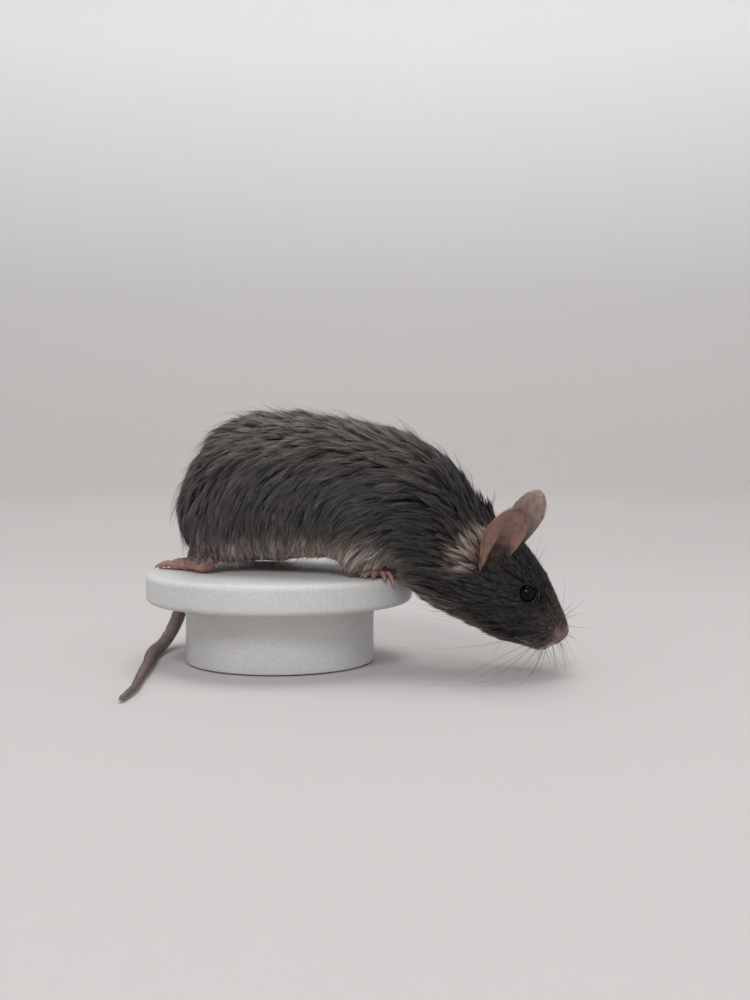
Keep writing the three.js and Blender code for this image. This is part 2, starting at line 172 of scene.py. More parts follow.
# ---- meshes ----


def quads_of(n, m):
    """Between n loops of m points: the loop and place of each quad, and its first two corners."""
    i, k = (g.ravel() for g in np.meshgrid(np.arange(n - 1), np.arange(m), indexing="ij"))
    return i, k, i * m + k, i * m + (k + 1) % m


def loft(rings):
    """Closed skin over a row of equal loops: vertices, triangles and the (round, along) of each corner."""
    n, m = rings.shape[:2]
    points = np.vstack([rings.reshape(-1, 3), rings[0].mean(0), rings[-1].mean(0)])
    i, k, a, b = quads_of(n, m)
    u0, u1, v0, v1 = k / m, (k + 1) / m, i / (n - 1), (i + 1) / (n - 1)
    ks, pole, last = np.arange(m), np.full(m, n * m), (n - 1) * m
    after = (ks + 1) % m
    here, middle, there, zero, one = ks / m, (ks + 0.5) / m, (ks + 1) / m, np.zeros(m), np.ones(m)
    faces = [(a, b, a + m), (b, b + m, a + m), (pole, after, ks), (pole + 1, last + ks, last + after)]
    corners = [
        ((u0, v0), (u1, v0), (u0, v1)), ((u1, v0), (u1, v1), (u0, v1)),
        ((middle, zero), (there, zero), (here, zero)), ((middle, one), (here, one), (there, one)),
    ]  # fmt: skip
    corners = [np.stack([np.stack(corner, 1) for corner in face], 1) for face in corners]
    return points, np.vstack([np.stack(face, 1) for face in faces]), np.vstack(corners)


def normals_of(points, triangles):
    a, b, c = (points[triangles[:, k]] for k in range(3))
    face = np.cross(b - a, c - a)
    total = [sum(np.bincount(triangles[:, k], face[:, j], len(points)) for k in range(3)) for j in range(3)]
    return unit(np.stack(total, 1))


def edges_of(triangles):
    pairs = np.vstack([triangles[:, [0, 1]], triangles[:, [1, 2]], triangles[:, [2, 0]]])
    return np.unique(np.sort(pairs, 1), axis=0)


def smoothed(points, triangles, rounds, share=0.5, weight=None):
    """points moved towards the middle of their neighbours, by weight where that is given."""
    e = edges_of(triangles)
    count = np.maximum(np.bincount(e.ravel(), minlength=len(points)), 1)[:, None]
    amount = share if weight is None else share * weight[:, None]
    for _ in range(rounds):
        near = [
            np.bincount(e[:, 0], points[e[:, 1], j], len(points))
            + np.bincount(e[:, 1], points[e[:, 0], j], len(points))
            for j in range(3)
        ]
        points = points + amount * (np.stack(near, 1) / count - points)
    return points


def new_mesh(name, points, corners, counts=None):
    """A Blender mesh from flat arrays; without counts the faces are triangles."""
    me = bpy.data.meshes.new(name)
    corners = np.asarray(corners, np.int32).ravel()
    counts = np.full(len(corners) // 3, 3) if counts is None else counts
    me.vertices.add(len(points))
    me.vertices.foreach_set("co", np.asarray(points, np.float32).ravel())
    me.loops.add(len(corners))
    me.loops.foreach_set("vertex_index", corners)
    me.polygons.add(len(counts))
    me.polygons.foreach_set("loop_start", np.concatenate([[0], np.cumsum(counts)[:-1]]).astype(np.int32))
    me.polygons.foreach_set("use_smooth", np.ones(len(counts), bool))
    me.update(calc_edges=True)
    return me


def new_object(name, mesh):
    obj = bpy.data.objects.new(name, mesh)
    bpy.context.scene.collection.objects.link(obj)
    return obj


def piece(name, mesh, mat, slot, *nodes):
    """A piece of the model in its material, riding on the root, in place of the CAD nodes named."""
    mesh.materials.append(mat)
    obj = new_object(name, mesh)
    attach(obj, "root")
    if nodes:
        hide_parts(*nodes)
    return obj


def arrays_of(mesh):
    mesh.calc_loop_triangles()
    points = np.empty(len(mesh.vertices) * 3, np.float32)
    mesh.vertices.foreach_get("co", points)
    triangles = np.empty(len(mesh.loop_triangles) * 3, np.int32)
    mesh.loop_triangles.foreach_get("vertices", triangles)
    return points.reshape(-1, 3).astype(float), triangles.reshape(-1, 3)


def evaluated(obj):
    """obj's mesh with its modifiers applied, and obj itself removed."""
    depsgraph = bpy.context.evaluated_depsgraph_get()
    mesh = bpy.data.meshes.new_from_object(obj.evaluated_get(depsgraph))
    bpy.data.objects.remove(obj)
    return mesh


def paint(mesh, name, values):
    """One colour a vertex, from n by 3 values."""
    layer = mesh.attributes.new(name, "FLOAT_COLOR", "POINT")
    rgba = np.ones((len(values), 4), np.float32)
    rgba[:, :3] = values
    layer.data.foreach_set("color", rgba.ravel())


def stacked(parts):
    """Several shapes, each its points and triangles, as one."""
    starts = np.cumsum([0] + [len(p) for p, _ in parts[:-1]])
    return np.vstack([p for p, _ in parts]), np.vstack([t + start for (_, t), start in zip(parts, starts)])


def fused(parts, voxel, rounds):
    """Overlapping closed shapes as one smooth skin."""
    obj = new_object("fusing", new_mesh("fusing", *stacked(parts)))
    remesh = obj.modifiers.new("remesh", "REMESH")
    remesh.mode = "VOXEL"
    remesh.voxel_size = voxel
    p, t = arrays_of(evaluated(obj))
    return smoothed(p, t, rounds), t


def tube(points, radii, sides, rings, floor=None):
    """A round tube along a smooth curve, its radii spread evenly along it and its ends rounded."""
    centres, _ = Curve(points).evenly(rings)
    share = np.linspace(0, 1, rings)
    radius = Curve(np.asarray(radii, float)[:, None])(share * (len(radii) - 1))[:, 0]
    return swept(centres, radius, sides, floor)[:2]


def frames_along(centres):
    tangent = unit(np.gradient(centres, axis=0))
    side = np.empty_like(centres)
    start = np.cross(tangent[0], (0, 0, 1.0))
    side[0] = unit(start if np.linalg.norm(start) > 0.1 else np.cross(tangent[0], (0, 1.0, 0)))
    for i in range(1, len(centres)):
        side[i] = unit(side[i - 1] - dot(side[i - 1], tangent[i]) * tangent[i])
    return tangent, side, np.cross(tangent, side)


def swept(centres, radius, sides, floor=None, ends=4):
    tangent, side, rise = frames_along(centres)
    angle = circle(sides)
    wheel = np.cos(angle)[:, None] * side[:, None] + np.sin(angle)[:, None] * rise[:, None]
    rings = centres[:, None] + radius[:, None, None] * wheel
    if ends:
        turn = (np.arange(1, ends) / ends) * (math.pi / 2)

        def cap(end, way):
            out, across = way * tangent[end] * radius[end], wheel[end] * radius[end]
            return [centres[end] + out * math.sin(a) + across * math.cos(a) for a in turn]

        rings = np.concatenate([cap(0, -1)[::-1], rings, cap(-1, 1)])
    if floor is not None:
        rings[..., 2] = np.maximum(rings[..., 2], floor)
    return loft(rings)


# ---- the trunk, neck and head ----
# The CAD's stations: back x and z, underside x and z, half the width, height of the widest level.

STATIONS = np.array([
    (-22.8, 11.0, -22.6, 8.2, 2.2, 0.5), (-21.8, 14.4, -21.4, 5.4, 7.0, 0.48),
    (-19.3, 19.6, -18.9, 3.6, 11.0, 0.45), (-15.8, 25.2, -15.4, 2.7, 13.6, 0.43),
    (-11.6, 29.2, -11.2, 2.3, 15.0, 0.42), (-6.0, 30.7, -6.0, 2.2, 15.5, 0.42),
    (0.0, 30.5, 0.0, 2.4, 15.4, 0.42), (6.0, 30.1, 6.0, 2.8, 14.9, 0.42),
    (12.0, 29.4, 12.0, 2.9, 14.2, 0.43), (17.5, 28.5, 16.5, 2.6, 13.5, 0.44),
    (22.5, 27.1, 20.5, 2.1, 12.8, 0.45), (27.0, 25.5, 23.6, 1.4, 12.0, 0.46),
    (31.0, 23.6, 26.6, -0.9, 11.2, 0.47), (34.3, 21.2, 29.2, -3.2, 10.3, 0.48),
    (36.8, 18.1, 31.9, -5.0, 9.6, 0.48), (38.7, 15.0, 34.6, -6.2, 9.2, 0.48),
    (40.8, 12.2, 37.3, -7.3, 9.1, 0.48), (43.6, 9.9, 40.0, -8.5, 9.3, 0.47),
    (46.3, 7.5, 42.6, -9.6, 9.1, 0.46), (48.5, 5.0, 44.8, -10.7, 8.5, 0.46),
    (50.2, 2.5, 46.6, -11.7, 7.7, 0.46), (51.6, -0.1, 48.2, -12.5, 6.7, 0.47),
    (52.7, -2.4, 49.6, -12.9, 5.8, 0.48), (53.6, -4.4, 51.0, -12.7, 4.8, 0.5),
    (54.4, -6.5, 52.2, -12.1, 3.8, 0.5), (55.0, -8.2, 53.5, -11.3, 2.6, 0.5),
    (55.25, -9.2, 54.6, -10.4, 1.3, 0.5),
])  # fmt: skip
LAST = len(STATIONS) - 1
ROUNDNESS = 2.2
BODY_SIDES = 176
THIGH = ((-9.2, 9.5, 11.0), (9.4, 6.5, 9.4))
SHOULDER = ((19.5, 7.6, 9.2), (6.6, 5.7, 8.2))
EYE, EYE_RADIUS = np.array([48.5, 6.1, -1.3]), 1.75
EAR_ROOT, EAR_HALF = np.array([42.8, 8.4, 4.0]), 5.3


def mirrored(point, side):
    return np.asarray(point, float) * (1, side, 1)


def by_place(places, table):
    """A number that changes along the row of stations, from {place: value}."""
    return np.interp(places, list(table), list(table.values()))


def body_sections(places, angle):
    back, under = Curve(STATIONS[:, 0:2])(places), Curve(STATIONS[:, 2:4])(places)
    half, waist = Curve(STATIONS[:, 4:6])(places).T
    up = back - under
    height = np.linalg.norm(up, axis=1)
    up /= height[:, None]
    waist = waist * height
    s, c = np.sin(angle), np.cos(angle)
    curl = np.sign(s) * np.abs(s) ** (2 / ROUNDNESS)
    rise = np.where(s > 0, (height - waist)[:, None], waist[:, None]) * curl
    centre = under + up * waist[:, None]
    out = np.empty((len(places), len(angle), 3))
    out[..., 0] = centre[:, None, 0] + up[:, None, 0] * rise
    out[..., 1] = half[:, None] * np.sign(c) * np.abs(c) ** (2 / ROUNDNESS)
    out[..., 2] = centre[:, None, 1] + up[:, None, 1] * rise
    return out, centre


def bulged(points, outward, ellipsoid, side):
    """points pushed outward where the ellipsoid stands out of the body, with a soft shoulder."""
    centre, radii = mirrored(ellipsoid[0], side), np.asarray(ellipsoid[1])
    p, d = (points - centre) / radii, outward / radii
    a, b, c = (d * d).sum(-1), (p * d).sum(-1), (p * p).sum(-1) - 1
    room = np.maximum(b * b - a * c, 0)
    reach = np.where(b * b > a * c, (-b + np.sqrt(room)) / a, -9)
    soft = 0.9
    return points + outward * (soft * np.logaddexp(0, np.clip(reach / soft, -30, 30)))[..., None]


def body_places():
    """Places along the stations at which the skin has rings: close together where detail is fine."""
    fine = np.linspace(0, LAST, 4000)
    middle = (Curve(STATIONS[:, 0:2])(fine) + Curve(STATIONS[:, 2:4])(fine)) / 2
    run = np.linalg.norm(np.diff(middle, axis=0), axis=1)
    pitch = by_place(fine[1:], {0: 0.45, 3: 0.6, 12: 0.6, 16: 0.36, 18: 0.24, 25: 0.17, 26: 0.14})
    count = np.concatenate([[0], np.cumsum(run / pitch)])
    return np.interp(np.linspace(0, count[-1], int(count[-1]) + 1), count, fine)


# How far the skin lies inside the CAD's outline, by station.
COAT_DEPTH = {
    0: 1.3, 1: 1.6, 4: 2.3, 11: 2.3, 13: 2.1, 15: 1.8, 16.5: 1.4,
    18: 0.9, 20: 0.62, 22: 0.45, 24: 0.3, 26: 0.06,
}  # fmt: skip
places = body_places()
angles = circle(BODY_SIDES)
sections, section_centres = body_sections(places, angles)
middles = np.stack([section_centres[:, 0], np.zeros(len(places)), section_centres[:, 1]], 1)
outward = unit(sections - middles[:, None])
for _, side in SIDES:
    for limb in (THIGH, SHOULDER):
        sections = bulged(sections, outward, limb, side)


def capped(loop, push):
    """Loops that close off an end, from the rim inwards, a little proud so that the end is round."""
    centre = loop.mean(0)
    return np.array([centre + (loop - centre) * s + push * (1 - s * s) for s in (0.75, 0.5, 0.25)])


tail_end = capped(sections[0], np.array([-0.2, 0, 0]))[::-1]
nose_end = capped(sections[-1], np.array([0.88, 0, -0.48]) * 0.35)
rings = np.concatenate([tail_end, sections, nose_end])
ring_place = np.concatenate([[0, 0, 0], places, [LAST] * 3])
body, body_faces, body_corners = loft(rings)
at_place = np.concatenate([np.repeat(ring_place, BODY_SIDES), [0, LAST]])
at_angle = np.concatenate([np.tile(angles, len(rings)), [0, 0]])
low = (1 - np.sin(at_angle)) / 2  # 0 along the back, 1 along the underside
low[-2:] = 0.5

depth = by_place(at_place, COAT_DEPTH) * (1 - 0.3 * smoothstep(low, 0.75, 0.98))
rump_end = smoothstep(2.5 - at_place, 0, 2)
body = smoothed(body, body_faces, 14, 0.6, rump_end + smoothstep(at_place, 25.5, 26) * 0.3)
for _ in range(5):
    body = body - normals_of(body, body_faces) * (depth / 5)[:, None]
    body = smoothed(body, body_faces, 2, 0.4, smoothstep(18 - at_place, 0, 3) * 0.8 + 0.2)
body = smoothed(body, body_faces, 30, 0.6, rump_end)

# ---- the face ----

EAR_HOLLOW = (43.9, 9.3, 3.2)  # the way into the ear
# Each line: a place on the left side, its radii, and how far the skin stands out or in there.
FACE = (
    ((52.3, 3.0, -8.6), (1.9, 1.7, 1.9), 0.42),  # whisker pad
    ((51.2, 4.6, -7.6), (1.6, 1.6, 1.8), 0.2),
    ((51.9, 4.4, -4.2), (1.6, 1.4, 1.6), -0.3),  # hollow between muzzle and eye
    ((46.2, 8.2, -5.6), (3.2, 2.4, 3.0), 0.35),  # cheek
    ((50.2, 3.4, 1.6), (2.2, 1.6, 2.2), -0.18),  # temple
    ((49.6, 4.7, 1.0), (1.6, 1.2, 1.2), 0.3),  # brow over the eye
    ((50.6, 0.0, -12.5), (1.8, 1.6, 1.2), 0.25),  # chin
    ((54.7, 0.9, -8.9), (0.8, 0.6, 0.7), 0.12),  # wings of the nose
    (EAR_HOLLOW, (1.9, 2.2, 1.9), -1.5),
)
normal = normals_of(body, body_faces)
for centre, radii, amount in FACE:
    for side in (1, -1) if centre[1] else (1,):
        body = body + normal * (bump_at(body, mirrored(centre, side), radii) * amount)[:, None]

MOUTH = np.array([(54.6, -11.0), (53.4, -11.45), (51.6, -11.5), (49.8, -11.0), (47.9, -10.4)])


def mouth_distance(points):
    """Distance above (+) or below (-) the mouth line as seen from the side, and the share along it."""
    q = points[:, [0, 2]]
    best, share = np.full(len(q), 99.0), np.zeros(len(q))
    for i in range(len(MOUTH) - 1):
        a, d = MOUTH[i], MOUTH[i + 1] - MOUTH[i]
        t = np.clip(((q - a) @ d) / (d @ d), 0, 1)
        off = q - a - t[:, None] * d
        far = np.linalg.norm(off, axis=1)
        sign = np.where(off[:, 1] > 0, 1, -1)
        near = far < np.abs(best)
        best, share = np.where(near, far * sign, best), np.where(near, (i + t) / (len(MOUTH) - 1), share)
    return best, share


normal = normals_of(body, body_faces)
gape, gape_share = mouth_distance(body)
in_mouth = fade(gape_share, 0.8, 1.0) * (at_place > 18)
lip = bell(gape - 0.42, 0.34) * 0.2 + bell(gape + 0.4, 0.3) * 0.08
under_lip = smoothstep(-gape, 0.1, 0.5) * fade(-gape, 1.0, 2.6)
groove = -0.42 * bell(gape, 0.2) - 0.22 * under_lip
body = body + normal * (in_mouth * (lip + groove))[:, None]

# Philtrum, nostrils and the fold round each wing of the nose.
normal = normals_of(body, body_faces)
front = smoothstep(body[:, 0], 53.6, 54.6)
philtrum = bell(body[:, 1], 0.2) * front * smoothstep(-body[:, 2], 9.4, 10.0)
body = body - normal * (0.22 * philtrum)[:, None]
for _, side in SIDES:
    nostril = bump_at(body, mirrored((55.25, 0.72, -9.75), side), (0.5, 0.3, 0.3))
    slit = bump_at(body, mirrored((55.0, 1.15, -9.45), side), (0.45, 0.32, 0.16))
    body = body - normal * (0.55 * nostril + 0.22 * slit)[:, None]


def eye_frame(side):
    """The eye's centre, the way it looks, and the line from its inner to its outer corner."""
    centre = mirrored(EYE, side)
    look = unit(np.array([0.40, 0.90 * side, 0.17]))
    along = np.array([0.62, 0.0, -0.78])
    along = unit(along - (along @ look) * look)
    return centre, look, along, np.cross(look, along)


def eye_reach(points, side, wide=1.1, tall=0.97):
    """How far points lie from the eye's axis, in units that make the opening an almond."""
    centre, look, along, across = eye_frame(side)
    off = points - centre
    return np.hypot(off @ along / wide, off @ across / tall), off @ look


# Lids: the skin dips to the eyeball's edge, rolls over it and goes behind it.
LID = ([0.0, 1.3, 1.46, 1.56, 1.68, 2.0, 2.5, 3.1], [0.35, 0.42, 0.9, 1.03, 1.0, 0.9, 0.78, 0.6])
for _, side in SIDES:
    reach, ahead = eye_reach(body, side)
    look = eye_frame(side)[1]
    hold = fade(reach, 1.62, 3.1) * (ahead > -0.6)
    body = body + look * ((np.interp(reach, *LID) - ahead) * hold)[:, None]
body = smoothed(body, body_faces, 2, 0.3, (at_place > 17).astype(float))
for _, side in SIDES:
    reach, ahead = eye_reach(body, side)
    ring = smoothstep(reach, 1.75, 2.2) * fade(reach, 3.4, 4.2) * (ahead > -1.2)
    body = smoothed(body, body_faces, 12, 0.5, ring)


# ---- ears ----


def ear_frame(side):
    root = mirrored(EAR_ROOT, side)
    along = mirrored((47.6, 11.0, 14.7), side) - root
    along[0] += 1.2 if side > 0 else 0
    length = np.linalg.norm(along)
    along /= length
    face = np.array([math.sin(math.radians(50)), side * math.cos(math.radians(50)), 0])
    face = unit(face - (face @ along) * along)
    return root, along, face, np.cross(along, face), length


def ear_half_width(share):
    root_half, half, widest = 3.2, EAR_HALF, 0.55
    swell = np.sin(np.clip(share / widest, 0, 1) * math.pi / 2)
    past = np.clip((share - widest) / (1 - widest), 0, 1)
    return np.where(share < widest, root_half + (half - root_half) * swell, half * np.sqrt(1 - past**2))


def ear(side):
    """A cupped shell: its hollow face, its back, a rolled rim and the folds at its base."""
    root, along, face, across, length = ear_frame(side)
    steps, columns = 64, 34
    share = 1.14 * (1 - (1 - np.linspace(0, 0.9985, steps)) ** 1.6) - 0.14
    run = np.linspace(-1, 1, columns)
    run = np.sign(run) * (1 - (1 - np.abs(run)) ** 1.35)
    layers = []
    for layer in (1, -1):
        columns_of = run if layer > 0 else run[::-1]
        s, w = np.meshgrid(share, columns_of, indexing="ij")
        half = np.maximum(ear_half_width(s), 0.25)
        wrap = np.radians(82) + (np.radians(30) - np.radians(82)) * np.sqrt(np.maximum(s, 0))
        edge = np.maximum(np.abs(w), smoothstep(s, 0.86, 1.0))
        thick = 0.36 * (1 - 0.45 * smoothstep(s, 0.1, 0.7)) * (1 + 0.35 * smoothstep(edge, 0.86, 0.97))
        thick = thick * np.sqrt(np.clip(1.02 - edge**8, 0.02, 1))
        radius = half / wrap - layer * thick / 2
        point = root + along * (s * length)[..., None]
        point = point + across * (radius * np.sin(w * wrap))[..., None]
        forward = half / wrap * np.cos(wrap) - radius * np.cos(w * wrap)
        rim = 0.22 * bell(edge - 0.93, 0.06) * smoothstep(s, 0.12, 0.3)
        wave = 0.16 * np.sin(5.2 * s + 2.1 * w + side) * smoothstep(s, 0.3, 0.9)
        forward = forward + rim + wave
        if layer > 0:
            # The antihelix runs up from the notch; below it the hollow narrows to the ear canal.
            ridge = bell(w * side - 0.28 + 0.5 * s, 0.16) * fade(s, 0.38, 0.66)
            shelf = bell(w * side + 0.5, 0.14) * fade(s, 0.16, 0.42)
            forward = forward + 0.9 * ridge + 0.7 * shelf
        layers.append(point + face * forward[..., None])
    return loft(np.concatenate(layers, axis=1))


ears = {name: ear(side) for name, side in SIDES}

# ---- feet ----
BASE_RADIUS, BASE_EDGE = 25.4, 1.2
CLEAR = 0.06  # how far the soles lie over the base
SOLE = 10.2  # from the heel to the ball of a hind foot


def toe_height(x, y, radius):
    """The middle of a toe over the base's top, or round its edge."""
    past = math.hypot(x, y + MIDLINE) - (BASE_RADIUS - BASE_EDGE)
    clear = CLEAR + radius
    if past <= 0:
        return clear
    return math.sqrt(max((BASE_EDGE + clear) ** 2 - past**2, 0)) - BASE_EDGE


FEET = {
    "forepaw_right": dict(wrist=(20.6, -5.6, 4.6), palm=(22.4, -6.6), turn=-62),
    "forepaw_left": dict(wrist=(15.8, 6.2, 4.4), palm=(17.2, 7.2), turn=25),
    "hind_foot_right": dict(wrist=(-10.7, -12.6, 5.2), heel=(-9.8, -14.6), turn=158),
    "hind_foot_left": dict(wrist=(-9.8, 10.4, 5.2), heel=(-8.6, 12.2), turn=195),
}


def digit(x, y, turn, length, radius):
    """One toe: knuckles, a pad under its tip, and where its claw starts."""

    def at(share, lift, r):
        px, py = x + share * length * math.cos(turn), y + share * length * math.sin(turn)
        return [px, py, toe_height(px, py, r) + lift]

    route = [at(0, 0.25, radius), at(0.3, 0.42, radius), at(0.62, 0.5, radius), at(1, 0.0, radius)]
    shape = [radius * k for k in (1.12, 0.88, 0.98, 0.78)]
    toe = tube(route, shape, 10, 14)
    pad_route = [at(0.95, -0.02, radius * 0.8), at(1.03, -0.05, radius * 0.7)]
    pad = tube(pad_route, [radius * 0.82, radius * 0.7], 10, 4)
    joint = tube([at(0.55, 0.42, radius), at(0.66, 0.4, radius)], [radius * 1.03] * 2, 10, 4)
    claw = [at(0.98, 0.28, radius), at(1.16, 0.34, radius * 0.8), at(1.32, 0.05, 0.5), at(1.4, -0.12, 0.3)]
    return [toe, pad, joint], claw


def foot(wrist, turn, palm=None, heel=None):
    """The skin of one foot and the routes of its claws."""
    turn = math.radians(turn)
    if palm is not None:
        mid = [(wrist[0] + palm[0]) / 2, (wrist[1] + palm[1]) / 2, 2.4]
        limb = [[wrist[0] - 0.6, wrist[1] * 0.9, 7.0], list(wrist), mid, [*palm, 1.3]]
        parts = [tube(limb, [2.4, 1.85, 1.35, 1.25], 18, 30, CLEAR)]
        toes, spread, length, ball, radius = 4, math.radians(28), 3.6, palm, 0.5
        tips = (0.86, 1.0, 0.98, 0.84)
        pads = [(0.35, 0.75), (0.35, -0.75), (-0.7, 0.0)]
    else:
        ball = (heel[0] + SOLE * math.cos(turn), heel[1] + SOLE * math.sin(turn))
        sole = [(heel[0] + ball[0]) / 2, (heel[1] + ball[1]) / 2, 1.45]
        limb = [[wrist[0] + 1.2, wrist[1] * 0.88, 8.4], list(wrist), [*heel, 2.0], sole, [*ball, 1.05]]
        parts = [tube(limb, [3.0, 1.8, 1.45, 1.15, 1.05], 20, 40, CLEAR)]
        across = np.array([-math.sin(turn), math.cos(turn)])
        for out in (-1, 1):
            side_at = [ball[0] + out * 0.85 * across[0], ball[1] + out * 0.85 * across[1], 0.8]
            parts.append(tube([sole, side_at], [0.95, 0.75], 14, 10, CLEAR))
        toes, spread, length, radius = 5, math.radians(13), 4.5, 0.55
        tips = (0.76, 0.97, 1.0, 0.95, 0.7)
        pads = [(-0.2, 1.0), (-0.2, -1.0), (0.3, 0.35), (-3.4, 0.4)]
    claws = []
    apart = 0.32 if heel is None else 0.46
    for i in range(toes):
        out = i - (toes - 1) / 2
        way = turn + out * spread
        x0, y0 = ball[0] - apart * out * math.sin(turn), ball[1] + apart * out * math.cos(turn)
        pieces, claw = digit(x0, y0, way, length * tips[i], radius)
        parts += pieces
        claws.append(claw)
    for ahead, out in pads:
        px = ball[0] + ahead * math.cos(turn) - out * math.sin(turn)
        py = ball[1] + ahead * math.sin(turn) + out * math.cos(turn)
        tip = (px + 0.3 * math.cos(turn), py + 0.3 * math.sin(turn), 0.5)
        parts.append(tube([(px, py, 0.52), tip], [0.5, 0.45], 10, 4))
    return fused(parts, 0.17, 3), claws


feet, claw_routes = {}, []
for name, numbers in FEET.items():
    feet[name], claws = foot(**numbers)
    claw_routes += claws

# ---- tail ----
TAIL_ROUTE = [
    (-16.2, 0.0, 7.3), (-17.8, 0.4, 6.4), (-21.4, 1.9, 4.3), (-24.5, 3.5, 2.0), (-26.8, 4.5, -1.2),
    (-27.8, 4.1, -5.2), (-27.9, 2.0, -10.0), (-27.3, -1.8, -13.6), (-25.8, -6.8, -15.5), (-22.3, -15.0, -15.8),
    (-15.9, -25.2, -15.95), (-10.1, -35.0, -16.1), (-4.8, -43.8, -16.25), (-1.5, -51.5, -16.5),
]  # fmt: skip
TAIL_ROOT, TAIL_TIP, SCALE_PITCH = 1.66, 0.4, 0.42


def tail():
    """The tail with its rings of scales."""
    centres, length = Curve(TAIL_ROUTE).evenly(560)
    share = np.linspace(0, 1, len(centres))
    radius = TAIL_ROOT + (TAIL_TIP - TAIL_ROOT) * share
    radius = radius * (1 - 0.42 * smoothstep(share, 0.985, 1.0))
    sides, ends, lowest = 20, 4, -BASE_TOP + 0.05
    points, faces, corners = swept(centres, radius, sides, lowest, ends)
    wave = (share * length / SCALE_PITCH) % 1
    scales = 0.045 * (wave**0.6 * fade(wave, 0.82, 1.0)) * smoothstep(share, 0.05, 0.12)
    lift = np.append(np.repeat(np.pad(scales, ends - 1), sides), [0, 0])
    ripple = 1 + 0.35 * noise(points, 0.35, 71)
    points = points + normals_of(points, faces) * (lift * ripple)[:, None]
    points[:, 2] = np.maximum(points[:, 2], lowest)
    return points, faces, corners, centres


tail_skin, tail_faces, tail_corners, tail_centres = tail()

# ---- one skin ----
EAR, PAW, TAIL = 1.0, 2.0, 3.0


def part_object(name, points, faces, part):
    obj = new_object(name, new_mesh(name, points, faces))
    layer = obj.data.attributes.new("part", "FLOAT", "POINT")
    layer.data.foreach_set("value", np.full(len(points), part, np.float32))
    return obj


whole, others = part_object("whole", body, body_faces, 0), []
for kind, shapes in ((EAR, ears), (PAW, feet), (TAIL, {"tail": (tail_skin, tail_faces)})):
    for name, shape in shapes.items():
        others.append(part_object("joining_" + name, shape[0], shape[1], kind))
        join = whole.modifiers.new(name, "BOOLEAN")
        join.operation, join.solver, join.object = "UNION", "MANIFOLD", others[-1]
united = evaluated(whole)
for other in others:
    bpy.data.objects.remove(other)
skin, skin_faces = arrays_of(united)
skin_part = np.empty(len(skin), np.float32)
united.attributes["part"].data.foreach_get("value", skin_part)

# The creases where limbs, ears and tail join the body are eased.
edge = edges_of(skin_faces)
crease = np.zeros(len(skin))
differs = np.abs(skin_part[edge[:, 0]] - skin_part[edge[:, 1]]) > 0.01
crease[edge[differs].ravel()] = 1
for _ in range(5):
    near = np.maximum(*(np.bincount(edge[:, k], crease[edge[:, 1 - k]], len(skin)) for k in (0, 1)))
    crease = np.maximum(crease, np.minimum(near, 1) * 0.75 * crease.max())
skin = smoothed(skin, skin_faces, 14, 0.5, crease)

# ---- surfaces that carry hair ----


class Surface:
    """A skin with what its hair needs at each vertex, and a quick way to the nearest point of it."""

    def __init__(self, points, faces, corners=None):
        self.points, self.faces, self.corners = points, faces, corners
        self.normal = normals_of(points, faces)
        self.tree = BVHTree.FromPolygons([Vector(p) for p in points], faces.tolist())

    def scatter(self, density, rng, keep):
        """Random places on the kept surface, evenly spread at density a square millimetre."""
        a, b, c = (self.points[self.faces[:, k]] for k in range(3))
        area = np.linalg.norm(np.cross(b - a, c - a), axis=1) / 2
        wanted = area * density[self.faces].mean(1) * keep[self.faces].min(1)
        total = np.cumsum(wanted)
        count = int(total[-1])
        face = np.searchsorted(total, (np.arange(count) + rng.random(count)) / count * total[-1])
        u, v = rng.random(count), rng.random(count)
        flip = u + v > 1
        u, v = np.where(flip, 1 - u, u), np.where(flip, 1 - v, v)
        return np.minimum(face, len(self.faces) - 1), np.stack([1 - u - v, u, v], 1)

    def at(self, values, face, share):
        return np.einsum("nk,nk...->n...", share, values[self.faces[face]])

    def nearest(self, points):
        """The nearest places on the surface: points, face numbers."""
        found = [self.tree.find_nearest(Vector(p)) for p in points]
        return np.array([f[0] for f in found], float), np.array([f[2] for f in found])


GUIDE_POINTS = 7
TUFT_STEPS = np.array([0, 0.36, 0.72, 1.0])


def walked(surface, flow, root, face, length, depth):
    """Guide hairs: each walks along the flow of the coat and rises to the coat's depth by its tip."""
    here, at_face = root, face
    spots, normals = [root], [unit(surface.normal[surface.faces[face]].mean(1))]
    third = np.full((len(root), 3), 1 / 3)
    for _ in range(GUIDE_POINTS - 1):
        way = surface.at(flow, at_face, third)
        way = unit(way - dot(way, normals[-1]) * normals[-1])
        here, at_face = surface.nearest(here + way * (length / (GUIDE_POINTS - 1))[:, None])
        spots.append(here)
        normals.append(unit(surface.at(surface.normal, at_face, third)))
    t = np.linspace(0, 1, GUIDE_POINTS)
    spots, normals = np.stack(spots, 1), np.stack(normals, 1)
    rise = depth[:, None] * (1 - (1 - t) ** 1.7)
    return spots + normals * rise[..., None], normals


def along(paths, t):
    """The place t of the way along each of paths, t a share for each and up to a little past 1."""
    where = np.clip(t, 0, 1.25) * (paths.shape[1] - 1)
    i = np.minimum(where.astype(int), paths.shape[1] - 2)
    f = (where - i)[..., None]
    row = np.arange(len(paths)).reshape(-1, *([1] * (i.ndim - 1)))
    return paths[row, i] * (1 - f) + paths[row, i + 1] * f


def nearest_of(points, targets):
    tree = KDTree(len(targets))
    for i, p in enumerate(targets):
        tree.insert(p, i)
    tree.balance()
    return np.array([tree.find(p)[1] for p in points])


